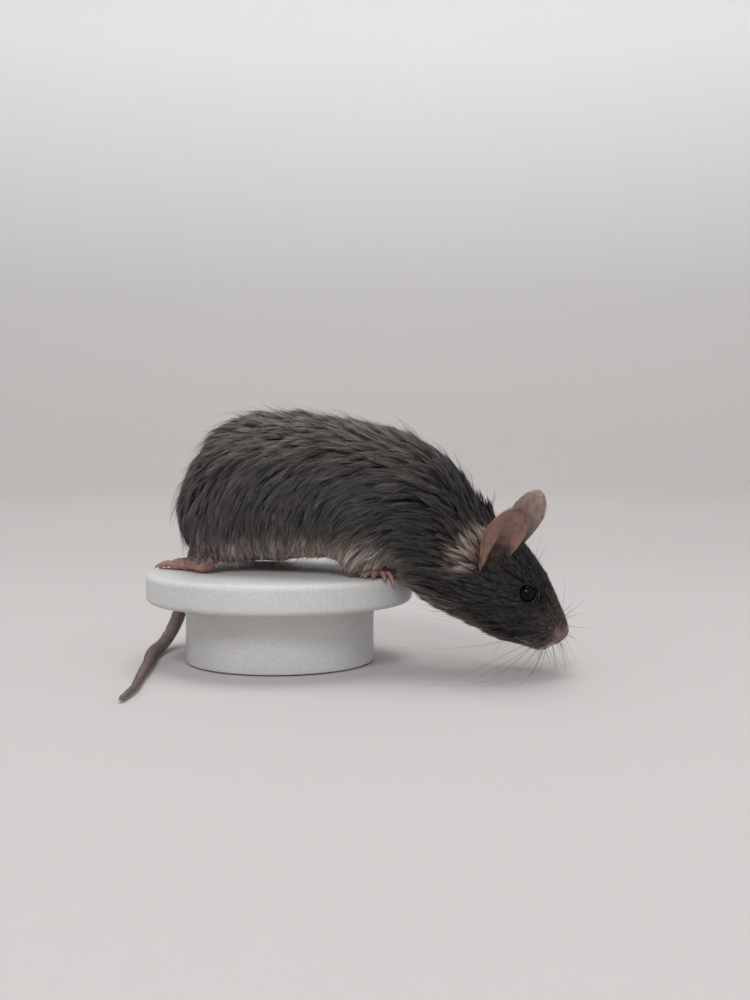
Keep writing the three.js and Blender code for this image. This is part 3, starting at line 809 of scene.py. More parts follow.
def grow(surface, fields, seed, keep):
    """A coat: tufts that lie along finer locks, which lie along coarser ones. Returns its arrays.

    fields holds a number or an array of one for each vertex: the spacing of locks and wisps, the density of
    tufts, their length, depth and width, how far they gather to their lock, their flow and their markings.
    """
    get = {k: v if np.ndim(v) else np.full(len(surface.points), v) for k, v in fields.items()}
    rng = np.random.default_rng(seed)
    face, share = surface.scatter(1 / get["lock"] ** 2, rng, keep)
    root = surface.at(surface.points, face, share)
    length = surface.at(get["length"], face, share) * rng.uniform(0.82, 1.12, len(root))
    depth = surface.at(get["depth"], face, share) * rng.uniform(0.72, 1.12, len(root))
    coarse, coarse_normal = walked(surface, get["flow"], root, face, length, depth)
    coarse_random = rng.random(len(root))

    face, share = surface.scatter(1 / get["wisp"] ** 2, rng, keep)
    root = surface.at(surface.points, face, share)
    owner = nearest_of(root, coarse[:, 0])
    t = np.linspace(0, 1, GUIDE_POINTS) * rng.uniform(0.8, 1.1, (len(root), 1))
    hold = surface.at(get["gather"], face, share)[:, None] * smoothstep(t, 0, 1.1)
    fine = along(coarse[owner], t) + (1 - hold)[..., None] * (root - coarse[owner, 0])[:, None]
    side = unit(np.cross(fine[:, -1] - fine[:, 0], coarse_normal[owner, 0]))
    bend = surface.at(get["length"], face, share) * rng.normal(0, 0.045, len(root))
    sway = bend[:, None] * np.sin(np.linspace(0, 1, GUIDE_POINTS) * rng.uniform(3, 6.5, (len(root), 1)))
    fine = fine + side[:, None] * sway[..., None]
    lift = rng.normal(0, 0.07, len(root)) * surface.at(get["depth"], face, share)
    fine = fine + coarse_normal[owner] * (lift[:, None] * np.linspace(0, 1, GUIDE_POINTS))[..., None]
    fine_random, fine_owner = rng.random(len(root)), owner

    face, share = surface.scatter(get["density"], rng, keep)
    root = surface.at(surface.points, face, share)
    owner = nearest_of(root, fine[:, 0])
    count = len(root)
    t = TUFT_STEPS * rng.uniform(0.72, 1.08, (count, 1))
    hold = 0.85 * surface.at(get["gather"], face, share)[:, None] * smoothstep(t, 0, 1.1)
    path = along(fine[owner], t) + (1 - hold)[..., None] * (root - fine[owner, 0])[:, None]
    size = surface.at(get["length"], face, share)
    stray = rng.normal(0, 0.03, (count, 3)) * size[:, None]
    path = path + stray[:, None] * (TUFT_STEPS**1.5)[:, None]
    normal = along(coarse_normal[fine_owner[owner]], t)
    path[:, 0] -= normal[:, 0] * np.minimum(0.2, size * 0.06)[:, None]
    width = surface.at(get["width"], face, share) * rng.uniform(0.75, 1.25, count)
    over_base = np.hypot(path[..., 0], path[..., 1] + MIDLINE) < BASE_RADIUS + 0.3
    over_base &= root[:, None, 2] > 0
    path[..., 2] = np.where(over_base, np.maximum(path[..., 2], 0.12), path[..., 2])
    return {
        "path": path,
        "normal": unit(normal),
        "width": width,
        "strand": np.stack([rng.random(count), fine_random[owner], coarse_random[fine_owner[owner]]], 1),
        "coat": surface.at(get["coat"], face, share),
        "unwrap": None if surface.corners is None else np.einsum("nk,nkj->nj", share, surface.corners[face]),
        "root": root,
    }


def merged(hairs):
    """Several coats as one, each on its own tile of the unwrap."""
    whole = {key: np.concatenate([hair[key] for hair in hairs]) for key in hairs[0] if key != "unwrap"}
    tiles = []
    for i, hair in enumerate(hairs):
        low, wide = hair["unwrap"].min(0), np.ptp(hair["unwrap"], axis=0)
        u, v = (hair["unwrap"] - low).T
        tiles.append(np.stack([(i + 0.98 * u / wide[0]) / len(hairs), v / wide[1]], 1))
    return {**whole, "unwrap": np.concatenate(tiles)}


PATCH = 0.003


def tufts(name, hair, mat, pick=slice(None)):
    """One piece of coat: a flat, pointed tuft for each picked hair, twisted a little about its own line."""
    path, normal, spots = hair["path"][pick], hair["normal"][pick], hair["unwrap"][pick]
    count = len(path)
    rng = np.random.default_rng(count + 5)
    line = unit(np.gradient(path, axis=1))
    across = unit(np.cross(line, normal))
    facing = np.cross(across, line)
    roll = rng.normal(0, 0.55, count)[:, None, None]
    across = across * np.cos(roll) + facing * np.sin(roll)
    taper = np.array([0.85, 1.0, 0.72])
    half = across[:, :3] * (hair["width"][pick][:, None] * taper)[..., None] / 2
    points = np.empty((count, 7, 3))
    points[:, 0:6:2], points[:, 1:6:2], points[:, 6] = path[:, :3] - half, path[:, :3] + half, path[:, 3]
    first = (np.arange(count) * 7)[:, None]
    faces = first + np.array([0, 1, 3, 2, 2, 3, 5, 4, 4, 5, 6])
    mesh = new_mesh(name, place(points.reshape(-1, 3)), faces, np.tile([4, 4, 3], count))
    strand = np.empty((count, 7, 3))
    strand[..., 0] = np.repeat(TUFT_STEPS, 2)[:7]
    strand[..., 1:] = 0.5 * hair["strand"][pick, None, :2] + 0.5 * hair["strand"][pick, None, 1:]
    paint(mesh, "strand", strand.reshape(-1, 3))
    paint(mesh, "coat", np.repeat(hair["coat"][pick], 7, axis=0))
    low, high = spots.min(0), spots.max(0)
    centre = 0.01 + 0.98 * (spots - low) / np.maximum(high - low, 1e-6)
    corner = np.array([[-1, -1], [1, -1], [-1, -0.28], [1, -0.28], [-1, 0.44], [1, 0.44], [0, 1]]) * PATCH / 2
    uv = (centre[:, None] + corner[None]).clip(0, 1)
    layer = mesh.uv_layers.new(name="OFBake")
    layer.uv.foreach_set("vector", uv.reshape(-1, 2)[faces.ravel()].astype(np.float32).ravel())
    piece(name, mesh, mat, "fur")


# ---- the coat's lie, length and markings over the body ----

grid = body[:-2].reshape(len(rings), BODY_SIDES, 3)
back_way = -unit(np.gradient(grid, axis=0)).reshape(-1, 3)
round_way = unit(np.roll(grid, -1, 1) - np.roll(grid, 1, 1))
down_way = (round_way * -np.tanh(3 * np.cos(angles))[None, :, None]).reshape(-1, 3)
back_way, down_way = (np.vstack([w, [[-1, 0, 0], [-1, 0, 0]]]) for w in (back_way, down_way))
skin_normal = normals_of(body, body_faces)


def along_body(table):
    """A number for each vertex of the body, from {station: value}."""
    return by_place(at_place, table)


rear = along_body({0: 1.4, 3: 1.35, 5: 1.25, 8: 1.0, 10: 0.7, 12: 0.42, 14: 0.16, 17: 0.08, 20: 0.22, 26: 0.2})
slant = 0.1 + rear * smoothstep(low, 0.02, 0.62) * (1 - 0.35 * smoothstep(low, 0.85, 1))
slant = slant + 0.24 * noise(body, 6.5, 3) + 0.2 * noise(body, 2.3, 5)
flow = back_way * np.cos(slant)[:, None] + down_way * np.sin(slant)[:, None]
rump_flow = np.array([-0.45, 0, -0.9])
rump_flow = unit(rump_flow - (skin_normal @ rump_flow)[:, None] * skin_normal)
rump_share = smoothstep(4.2 - at_place, 0, 3.0)[:, None]
flow = unit(flow * (1 - rump_share) + rump_flow * rump_share)

HEAD_AHEAD = unit(np.array([0.66, 0, -0.75]))
behind_ear, in_ear, by_ear = np.zeros((3, len(body)))
by_eye = np.full(len(body), 9.0)
for _, side in SIDES:
    root, along_ear, ear_face, ear_across, _ = ear_frame(side)
    off = body - (root + HEAD_AHEAD * 0.4)
    near = bell(np.linalg.norm(off, axis=1), 4.3)
    fan = unit(body - (root + HEAD_AHEAD * 2.2 + np.array([0, -1.2 * side, -0.4])))
    fan = unit(fan - dot(fan, skin_normal) * skin_normal)
    rearward = smoothstep(-(off @ HEAD_AHEAD), -0.6, 1.4)
    hold = np.minimum(1.25 * (near * rearward)[:, None], 1)
    flow = unit(flow * (1 - hold) + fan * hold)
    behind_ear = np.maximum(behind_ear, near * rearward)
    cup = body - root
    inside = (np.abs(cup @ ear_across) < 2.6) & (cup @ ear_face > -0.9) & (cup @ ear_face < 1.0)
    inside &= np.abs(cup @ along_ear) < 1.2
    hollow = mirrored(EAR_HOLLOW, side)
    in_ear = np.maximum(in_ear, inside | (bump_at(body, hollow, (1.3, 1.6, 1.3)) > 0.45))
    by_ear = np.maximum(by_ear, bump_at(body, hollow, (3.0, 2.6, 3.0)))
    # Round the eye the coat parts and closes again behind it.
    centre, look = eye_frame(side)[:2]
    reach, ahead = eye_reach(body, side)
    reach = np.where(ahead > -0.8, reach, 9.0)
    by_eye = np.minimum(by_eye, reach)
    away = body - centre
    away = unit(away - (away @ look)[:, None] * look)
    toward = np.minimum((flow * away).sum(1), 0)
    steer = bell(reach - 1.6, 1.1)
    flow = unit(flow - away * (toward * steer)[:, None] + away * (0.25 * steer)[:, None])

face_share = smoothstep(at_place, 16.3, 18.5)
trunk = fade(at_place, 11.5, 15)
belly, top = smoothstep(low, 0.85, 1), smoothstep(0.3 - low, 0, 0.3)
cheek = face_share * smoothstep(low, 0.45, 0.8) * fade(at_place, 20, 23)
near_eye = bell(by_eye - 1.6, 0.5)
throat = smoothstep(at_place, 12.5, 14.5) * fade(at_place, 19, 21) * smoothstep(low, 0.55, 0.9)
under_throat = (1 - trunk) * smoothstep(low, 0.76, 0.95)
chest = bump_at(body, (15, 9, 5), (6, 7, 4)) + bump_at(body, (15, -9, 5), (6, 7, 4))
gape, gape_share = mouth_distance(body)
muzzle = smoothstep(at_place, 23.2, 25.2) * smoothstep(low, 0.1, 0.4)
lip_band = smoothstep(gape, -2.8, -0.8) * fade(gape, 0.6, 2.0) * smoothstep(at_place, 20.3, 22)
length = along_body({
    0: 6.0, 3: 7.0, 8: 6.8, 12: 6.3, 14: 5.6, 15.5: 4.6, 17: 3.2,
    18.5: 2.3, 20: 1.8, 22: 1.4, 24: 1.0, 25.2: 0.7, 26: 0.4,
})  # fmt: skip
length = length * (1 - 0.25 * belly) * (1 + 0.15 * noise(body, 4, 11))
length = length * (1 + 0.5 * cheek) * (1 - 0.35 * by_ear * (1 - behind_ear))
length = length * (1 - 0.55 * near_eye) * (1 + 0.25 * throat)
lipped = np.maximum(lip_band, muzzle)
gather = along_body({0: 0.86, 12: 0.86, 15: 0.8, 17: 0.62, 20: 0.42, 26: 0.1})
density = along_body({0: 36, 12: 36, 15: 44, 17: 60, 20: 78, 23: 92, 24.2: 60, 25.3: 30, 26: 10})

# The markings: how brown the tips are, how pale the hair is, and how light or dark the whole. That last, the
# shade, also holds painted light on the lower flanks and the lips.
warm = 0.1 + trunk * (0.5 * top + 0.62 * smoothstep(low, 0.53, 0.76))
warm = warm + 0.35 * smoothstep(4 - at_place, 0, 3) + 0.8 * smoothstep(at_place, 21, 24)
warm = warm + 0.75 * chest + 0.12 * noise(body, 5, 21)
mottle = np.clip(0.55 + 1.5 * noise(body, 0.9, 25), 0, 1.2)
pale = 0.85 * behind_ear + 0.22 * trunk * smoothstep(low, 0.58, 0.8) + 0.45 * under_throat
pale = np.clip(pale + 0.95 * mottle * lipped, 0, 1)
shade = along_body({0: 0.74, 6: 0.62, 11: 0.56, 14: 0.42, 17: 0.35, 20: 0.35, 23: 0.46, 24.5: 0.75, 26: 1.0})
# Partly painted light: the lower flanks are paler hair, and are lightened further against the shade beneath
# the body.
shade = shade * (1 + 1.5 * trunk * smoothstep(low, 0.53, 0.72))
shade = shade * (1 + 0.6 * trunk * top) * (1 + 0.12 * noise(body, 2.5, 23))
# Painted light: the lip band faces down into shade and is lightened well beyond its pink. The muzzle, the
# locks behind the ears and the throat's lower edge are paler hair.
shade = shade * (1 + 1.2 * behind_ear + np.maximum(2.0 * lip_band, muzzle) + 0.8 * under_throat)
shade = shade * (1 + 1.3 * chest)

coat_fields = {
    "flow": flow,
    "length": length * (1 - behind_ear) + 6.4 * behind_ear,
    "depth": depth * (1 + 0.25 * noise(body, 3, 13)) + 1.3 * behind_ear + 1.2 * throat,
    "width": along_body({0: 0.145, 12: 0.14, 15: 0.125, 17: 0.105, 20: 0.085, 23: 0.07, 26: 0.05}),
    "lock": along_body({0: 1.05, 12: 1.02, 15: 0.95, 17: 0.75, 20: 0.58, 26: 0.45}) * (1 + 0.6 * behind_ear),
    "wisp": along_body({0: 0.46, 12: 0.45, 15: 0.4, 17: 0.32, 20: 0.26, 26: 0.2}),
    "density": density * (1 + 0.9 * near_eye) * (1 - 0.3 * behind_ear) * (1 - 0.6 * lipped),
    "gather": np.maximum(gather, 0.95 * behind_ear),
    "coat": np.stack([np.clip(warm, 0, 1), pale, np.clip(shade, 0, 1.6) / 1.6], 1),
}

# A lock stands up on the nape between the ears.
stands = bump_at(body, (40.4, 2.2, 10.3), (1.1, 1.0, 1.6))
upright = (0.6 * stands)[:, None]
coat_fields["flow"] = unit(flow * (1 - upright) + np.array([-0.2, 0, 1.0]) * upright)
coat_fields["depth"] = coat_fields["depth"] + 2.6 * stands
coat_fields["length"] = coat_fields["length"] * (1 - stands) + 4.2 * stands

bare = (by_eye < 1.54) | (in_ear > 0) | ((at_place > 25.35) & (skin_normal[:, 0] > 0.2))
bare |= (np.abs(gape) < 0.16) & (gape_share < 0.95) & (at_place > 20)
furred = Surface(body, body_faces, body_corners)
hair = grow(furred, coat_fields, 4, ~bare)  # the seeds follow one another: 4 to 6, 30 to 32, 41 to 44, 51

# Guard hairs: few, longer and steeper than the coat they stand in.
thin = 1 / (1 + 0.8 * face_share)
few = fade(at_place, 23, 25) * (1 - 0.75 * throat) * (1 - 0.85 * trunk * smoothstep(low, 0.7, 0.85))
guard_fields = coat_fields | {
    "length": coat_fields["length"] * 1.15,
    "depth": coat_fields["depth"] * 1.5 + 0.35 * thin,
    "width": coat_fields["width"] * 0.5,
    "lock": 2.0 * thin,
    "wisp": 1.1 * thin,
    "gather": 0.15,
    "density": (1.2 + 2.5 * face_share) * few,
}
guard_hair = grow(furred, guard_fields, 5, ~bare & (by_eye > 2.4))

# Behind each ear pale locks spread and stand off the coat.
fan_fields = coat_fields | {
    "length": 3.2 + 3.2 * behind_ear,
    "depth": coat_fields["depth"] + 1.5,
    "width": coat_fields["width"] * 0.62,
    "lock": 0.8,
    "wisp": 0.3,
    "gather": 0.92,
    "density": 24.0,
    "coat": np.tile([0.9, 0.85, 0.66], (len(body), 1)),
}
fan_hair = grow(furred, fan_fields, 6, ~bare & (behind_ear > 0.34))

# ---- materials ----


def node(tree, kind, **settings):
    """A shader node; settings name its properties, or its inputs by "in_" and their name."""
    made = tree.nodes.new("ShaderNode" + kind)
    for key, value in settings.items():
        if key.startswith("in_"):
            made.inputs[key[3:].replace("_", " ")].default_value = value
        else:
            setattr(made, key, value)
    return made


def material(name, roughness, **shader):
    mat = bpy.data.materials.new(name)
    mat.use_nodes = True
    principled = mat.node_tree.nodes["Principled BSDF"]
    principled.inputs["Roughness"].default_value = roughness
    for key, value in shader.items():
        principled.inputs[key.replace("_", " ")].default_value = value
    return mat, mat.node_tree, principled


def feed(tree, socket, value):
    """Another node's output, a number or a colour, put into a socket."""
    if isinstance(value, bpy.types.NodeSocket):
        tree.links.new(value, socket)
    else:
        socket.default_value = value if isinstance(value, (int, float)) else (*value, 1)


def ramp(tree, source, stops):
    made, stops = node(tree, "ValToRGB"), list(stops)
    bar = made.color_ramp
    while len(bar.elements) < len(stops):
        bar.elements.new(0.5)
    for element, (at, colour) in zip(bar.elements, stops):
        element.position = at
        element.color = (*colour, 1)
    tree.links.new(source, made.inputs["Fac"])
    return made.outputs["Color"]


def mixed(tree, share, a, b, blend="MIX"):
    made = node(tree, "Mix", data_type="RGBA", blend_type=blend)
    for place_in, value in ((0, share), (6, a), (7, b)):
        feed(tree, made.inputs[place_in], value)
    return made.outputs[2]


def sum_of(tree, operation, *values):
    made = node(tree, "Math", operation=operation)
    for socket, value in zip(made.inputs, values):
        feed(tree, socket, value)
    return made.outputs[0]


def texture_of(tree, kind, scale, **settings):
    where = node(tree, "TexCoord")
    made = node(tree, "Tex" + kind, in_Scale=scale, **settings)
    tree.links.new(where.outputs["Object"], made.inputs["Vector"])
    return made


def split(tree, attribute):
    made = node(tree, "Attribute", attribute_name=attribute)
    apart = node(tree, "SeparateColor")
    tree.links.new(made.outputs["Color"], apart.inputs["Color"])
    return apart.outputs


def bumped(tree, principled, height, distance, strength=1.0):
    made = node(tree, "Bump", in_Strength=strength, in_Distance=distance)
    tree.links.new(height, made.inputs["Height"])
    tree.links.new(made.outputs["Normal"], principled.inputs["Normal"])


def fur_material(name, dark, tipped, light):
    """Hair by its markings: dark, tipped and light each hold its colours at the root, middle and tip."""
    mat, tree, principled = material(name, 0.55, Specular_IOR_Level=0.3)
    strand, coat = split(tree, "strand"), split(tree, "coat")
    stops = (0.05, 0.5, 0.95)
    plain, brown, pale = (ramp(tree, strand[0], zip(stops, tones)) for tones in (dark, tipped, light))
    colour = mixed(tree, coat[1], mixed(tree, coat[0], plain, brown), pale)
    # Each lock and each hair is a little lighter or darker than its neighbours.
    hair = sum_of(tree, "MULTIPLY_ADD", strand[1], 0.7, 0.62)
    lock = sum_of(tree, "MULTIPLY_ADD", strand[2], 1.0, 0.5)
    patch = texture_of(tree, "Noise", 420.0, in_Detail=3.0).outputs["Fac"]
    patch = sum_of(tree, "MULTIPLY_ADD", patch, 0.5, 0.75)
    amount = sum_of(tree, "MULTIPLY", sum_of(tree, "MULTIPLY", hair, lock), patch)
    # The coat's third channel lightens or darkens the whole hair; on the lower flanks and the lips it holds
    # painted light.
    amount = sum_of(tree, "MULTIPLY", amount, sum_of(tree, "MULTIPLY", coat[2], 1.6))
    grey = node(tree, "CombineColor")
    for socket in grey.inputs[:3]:
        feed(tree, socket, amount)
    feed(tree, principled.inputs["Base Color"], mixed(tree, 1.0, colour, grey.outputs["Color"], "MULTIPLY"))
    return mat


FUR = fur_material(
    "fur",
    dark=[(0.012, 0.011, 0.012), (0.050, 0.047, 0.049), (0.165, 0.153, 0.151)],
    tipped=[(0.014, 0.012, 0.012), (0.085, 0.071, 0.065), (0.360, 0.298, 0.262)],
    light=[(0.070, 0.050, 0.042), (0.340, 0.250, 0.205), (0.740, 0.600, 0.515)],
)
FINE = fur_material(
    "fine_hair",
    dark=[(0.050, 0.042, 0.040), (0.090, 0.075, 0.070), (0.140, 0.115, 0.105)],
    tipped=[(0.090, 0.062, 0.055), (0.160, 0.115, 0.100), (0.260, 0.200, 0.175)],
    light=[(0.280, 0.185, 0.155), (0.380, 0.270, 0.225), (0.520, 0.400, 0.340)],
)


def skin_material():
    """Bare skin by its painted tint, with creases, pores and blotches."""
    mat, tree, principled = material(
        "skin", 0.5, Specular_IOR_Level=0.4,
        Subsurface_Weight=0.2, Subsurface_Radius=(1.0, 0.35, 0.2), Subsurface_Scale=0.0006,
    )  # fmt: skip
    tint = node(tree, "Attribute", attribute_name="tint")
    blotch = texture_of(tree, "Noise", 900.0, in_Detail=4.0, in_Roughness=0.6)
    blotches = ramp(tree, blotch.outputs["Fac"], [(0.3, (0.78, 0.74, 0.74)), (0.7, (1.12, 1.1, 1.1))])
    colour = mixed(tree, 1.0, tint.outputs["Color"], blotches, "MULTIPLY")
    pores = texture_of(tree, "Voronoi", 4200.0).outputs["Distance"]
    fine = ramp(tree, pores, [(0.0, (0.82, 0.8, 0.8)), (0.35, (1, 1, 1))])
    colour = mixed(tree, 0.6, colour, mixed(tree, 1.0, colour, fine, "MULTIPLY"))
    feed(tree, principled.inputs["Base Color"], colour)
    wrinkle = texture_of(tree, "Noise", 2600.0, in_Detail=3.0, in_Distortion=0.6).outputs["Fac"]
    bumped(tree, principled, sum_of(tree, "ADD", wrinkle, pores), 0.00006, 0.7)
    feed(tree, principled.inputs["Roughness"], ramp(tree, wrinkle, [(0.3, (0.42,) * 3), (0.7, (0.62,) * 3)]))
    return mat


def streaked_material(name, roughness, specular, scale, stops):
    """A smooth material, a little lighter and darker along itself: the eyes, claws and whiskers."""
    mat, tree, principled = material(name, roughness, Specular_IOR_Level=specular)
    streak = texture_of(tree, "Noise", scale, in_Detail=2.0)
    feed(tree, principled.inputs["Base Color"], ramp(tree, streak.outputs["Fac"], stops))
    return mat


def stand_material():
    """Pale matt grey, fine-grained, a little lighter along the rim's edges."""
    mat, tree, principled = material("stand", 0.6, Specular_IOR_Level=0.35)
    grain = texture_of(tree, "Noise", 2600.0, in_Detail=6.0, in_Roughness=0.65).outputs["Fac"]
    cloud = texture_of(tree, "Noise", 55.0, in_Detail=4.0).outputs["Fac"]
    edge = node(tree, "NewGeometry").outputs["Pointiness"]
    colour = ramp(tree, cloud, [(0.3, (0.60, 0.595, 0.585)), (0.7, (0.68, 0.675, 0.665))])
    colour = mixed(tree, 1.0, colour, ramp(tree, grain, [(0.35, (0.86,) * 3), (0.6, (1.03,) * 3)]), "MULTIPLY")
    colour = mixed(tree, 1.0, colour, ramp(tree, edge, [(0.5, (1, 1, 1)), (0.62, (1.12,) * 3)]), "MULTIPLY")
    feed(tree, principled.inputs["Base Color"], colour)
    feed(tree, principled.inputs["Roughness"], ramp(tree, cloud, [(0.3, (0.5,) * 3), (0.7, (0.68,) * 3)]))
    bumped(tree, principled, grain, 0.00004, 0.6)
    return mat


# ---- the skin's tint ----


def laid(tint, colour, share):
    """tint with colour laid over it by share, 0 to 1."""
    share = np.clip(share, 0, 1)[:, None]
    return tint * (1 - share) + np.asarray(colour) * share


def head_tint(points):
    """The tint of the trunk and head: dark under the coat, pink about the nose and lips, with painted shade in
    the mouth's slit, the nostrils and the way into each ear.
    """
    x, _, z = points.T
    tint = np.tile([0.032, 0.028, 0.0275], (len(points), 1))
    gape, gape_share = mouth_distance(points)
    mottle = np.clip(0.6 + 1.4 * noise(points, 0.9, 25), 0, 1)
    snout = smoothstep(x, 51.0, 53.8) * smoothstep(-z, 5, 7.5)
    lips = bell(gape, 1.8) * fade(gape_share, 0.6, 1) * (x > 47)
    nose = smoothstep(x + 0.5 * (-z - 9), 53.4, 54.6) * smoothstep(-z, 6.2, 7.2) * (z > -11.3)
    tint = laid(tint, (0.19, 0.115, 0.098), 0.8 * snout * mottle)
    tint = laid(tint, (0.30, 0.175, 0.15), 0.9 * mottle * lips)
    tint = laid(tint, (0.235, 0.138, 0.122), (0.7 + 0.3 * mottle) * nose)
    # Painted shade: a dark line in the slit between the lips.
    tint = laid(tint, (0.05, 0.02, 0.02), bell(gape, 0.14) * (x > 48) * (x < 54.5) * 0.8)
    for _, side in SIDES:
        # Painted shade in each nostril's opening.
        nostril = bump_at(points, mirrored((55.1, 0.74, -9.75), side), (0.7, 0.3, 0.3))
        tint = laid(tint, (0.02, 0.008, 0.008), 1.2 * nostril)
        reach, ahead = eye_reach(points, side)
        lids = fade(reach, 1.9, 2.5) * (ahead > -1.5) * (ahead < 3)
        tint = laid(tint, (0.017, 0.0145, 0.015), lids)
    # Painted shade, darker and redder, in the way into each ear.
    for _, side in SIDES:
        hollow = bump_at(points, mirrored(EAR_HOLLOW, side), (2.1, 2.4, 2.1))
        tint = laid(tint, (0.030, 0.016, 0.014), 1.6 * hollow)
    return tint


def ear_tint(points, normal, side):
    """Greyish pink, darker along the rim, with painted shade in the hollows and painted light on the fold
    above them; and which points lie on this side's ear.
    """
    root, along_ear, ear_face, across_ear, ear_length = ear_frame(side)
    off = points - root
    share = np.clip(off @ along_ear / ear_length, 0, 1)
    swing = off @ across_ear / EAR_HALF * side

    def fold(fades, ends, middle, half, soft):
        """1 at the ear's root and along the line at middle, fading above it and to both sides."""
        return fade(share, fades, ends) * fade(np.abs(swing - middle), half, soft)

    inner = smoothstep((normal * ear_face).sum(1), -0.2, 0.3)
    tones = laid(np.array([0.24, 0.172, 0.145]), (0.300, 0.182, 0.142), inner)
    rim = smoothstep(np.abs(swing), 0.74, 0.98) * smoothstep(share, 0.3, 0.5)
    rim = inner * np.maximum(smoothstep(share, 0.8, 0.97), rim)
    tones = tones * (1 - rim[:, None] * np.array([0.32, 0.2, 0.18]))
    flat = np.stack([share, swing, 0 * share], 1)
    tones = tones * (1 + 0.28 * bump_at(flat, (0.56, 0.42, 0), (0.2, 0.2, 1)))[:, None]
    # Painted shade in the hollows at the ear's base.
    hollow = np.maximum(fold(0.24, 0.4, -0.26, 0.3, 0.5), 0.8 * fold(0.12, 0.24, 0.62, 0.12, 0.28))
    dark = inner * np.maximum(hollow, 0.5 * fold(0.38, 0.54, -0.3, 0.2, 0.4))
    # Painted light on the antihelix fold.
    ridge = inner * fold(0.4, 0.6, 0.27, 0.08, 0.26)
    tones = tones * (1 + 0.3 * ridge[:, None]) * (1 - dark[:, None] * np.array([0.84, 0.9, 0.91]))
    veins = np.abs(noise(points * (1, 1, 0.45), 1.3, 41)) < 0.12
    tones = tones * (1 - 0.13 * veins[:, None] * smoothstep(share, 0.15, 0.4)[:, None])
    tones = tones * (1 + 0.18 * smoothstep(share, 0.5, 1.0)[:, None])
    return tones, (off @ along_ear > -2.5) & (np.sign(points[:, 1]) == side)


def on(kind):
    """Which points of the skin belong to the ears, paws or tail."""
    return np.abs(skin_part - kind) < 0.5


skin_tint, normal = head_tint(skin), normals_of(skin, skin_faces)
for _, side in SIDES:
    tones, mine = ear_tint(skin, normal, side)
    mine &= on(EAR)
    skin_tint[mine] = tones[mine]
paw_pink = np.array([0.40, 0.205, 0.18]) * (1 + 0.12 * noise(skin, 1.2, 43))[:, None]
skin_tint[on(PAW)] = laid(paw_pink, (0.13, 0.066, 0.055), smoothstep(skin[:, 2], 1.6, 3.4))[on(PAW)]
tail_vary = 1 + 0.2 * noise(skin, 3.0, 45) + 0.1 * noise(skin, 0.7, 47)
skin_tint[on(TAIL)] = (np.array([0.195, 0.142, 0.124]) * tail_vary[:, None])[on(TAIL)]

skin_mesh = new_mesh("mouse_skin", place(skin), skin_faces)
paint(skin_mesh, "tint", np.clip(skin_tint, 0, 1))
flesh = [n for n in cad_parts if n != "stand_base" and not n.startswith("eye_")]
piece("mouse_skin", skin_mesh, skin_material(), "fur", *flesh)

# ---- the coat's pieces ----
# Over the body, from the rump to the nose; one piece would be too heavy.
REGIONS = ("rump", "hips", "flanks", "ribs", "shoulders", "neck", "cheeks", "face")
order = np.argsort(hair["unwrap"][:, 1], kind="stable")
for name, pick in zip(REGIONS, np.array_split(order, len(REGIONS))):
    tufts("coat_" + name, hair, FUR, np.sort(pick))
tufts("coat_guard_hairs", guard_hair, FUR)
tufts("coat_ear_fans", fan_hair, FUR)


def together(*values):
    """Columns of one array, from arrays and single numbers."""
    return np.stack(np.broadcast_arrays(*values), 1)


hairs = []
for name, side in SIDES:
    surface = Surface(*ears[name])
    root, along_ear, ear_face, across_ear, ear_length = ear_frame(side)
    off = surface.points - root
    share = off @ along_ear / ear_length
    back = (surface.normal * ear_face).sum(1) < 0
    fields = {
        "flow": unit(along_ear + 0.35 * (off @ across_ear / 5)[:, None] * across_ear),
        "length": np.where(back, 0.95, 0.6) * (1.5 - 0.6 * share),
        "depth": 0.16,
        "width": 0.036,
        "lock": 1.1,
        "wisp": 0.5,
        "density": np.where(back, 16.0, 7.0) * (1 + 1.5 * back * smoothstep(0.3 - share, 0, 0.3)),
        "gather": 0.1,
        "coat": together(np.where(back, 0.75, 0.9), 0.45 + 0.25 * ~back, 0.5),
    }
    hairs.append(grow(surface, fields, 31 + side, share > 0.02))
tufts("coat_ears", merged(hairs), FINE)

hairs = []
for name, numbers in FEET.items():
    surface = Surface(*feet[name])
    turn = math.radians(numbers["turn"])
    ahead = np.array([math.cos(turn), math.sin(turn), 0.0])
    aside = np.array([-math.sin(turn), math.cos(turn), 0])
    hind = "heel" in numbers
    start = np.array([*(numbers["heel"] if hind else numbers["palm"]), 0.0])
    toes = smoothstep((surface.points - start) @ ahead - (SOLE if hind else 0.0), -0.5, 1.5)
    high = smoothstep(surface.points[:, 2], 1.8, 3.6)
    way = ahead * (1 - 0.9 * high)[:, None] + np.array([0, 0, -1.0]) * (0.25 + 1.6 * high)[:, None]
    fields = {
        "flow": unit(way),
        "length": 1.0 + 1.1 * high - 0.4 * toes,
        "depth": 0.2 + 0.3 * high,
        "width": 0.055 + 0.05 * high,
        "lock": 0.8,
        "wisp": 0.35,
        "density": (13 + 40 * high) * (1 - 0.5 * toes),
        "gather": 0.15 + 0.4 * high,
        "coat": together(0.6 + 0.2 * high, 0.8 * (1 - high), 0.55 + 0.05 * high),
    }
    keep = ((surface.normal[:, 2] > -0.15) | (high > 0.3)) & (surface.normal @ ahead < 0.85)
    foot_hair = grow(surface, fields, 41 + len(hairs), keep)
    off = foot_hair["root"] - start
    foot_hair["unwrap"] = np.stack([off @ ahead, np.arctan2(off[:, 2] - 1.0, off @ aside)], 1)
    hairs.append(foot_hair)
tufts("coat_feet", merged(hairs), FINE)

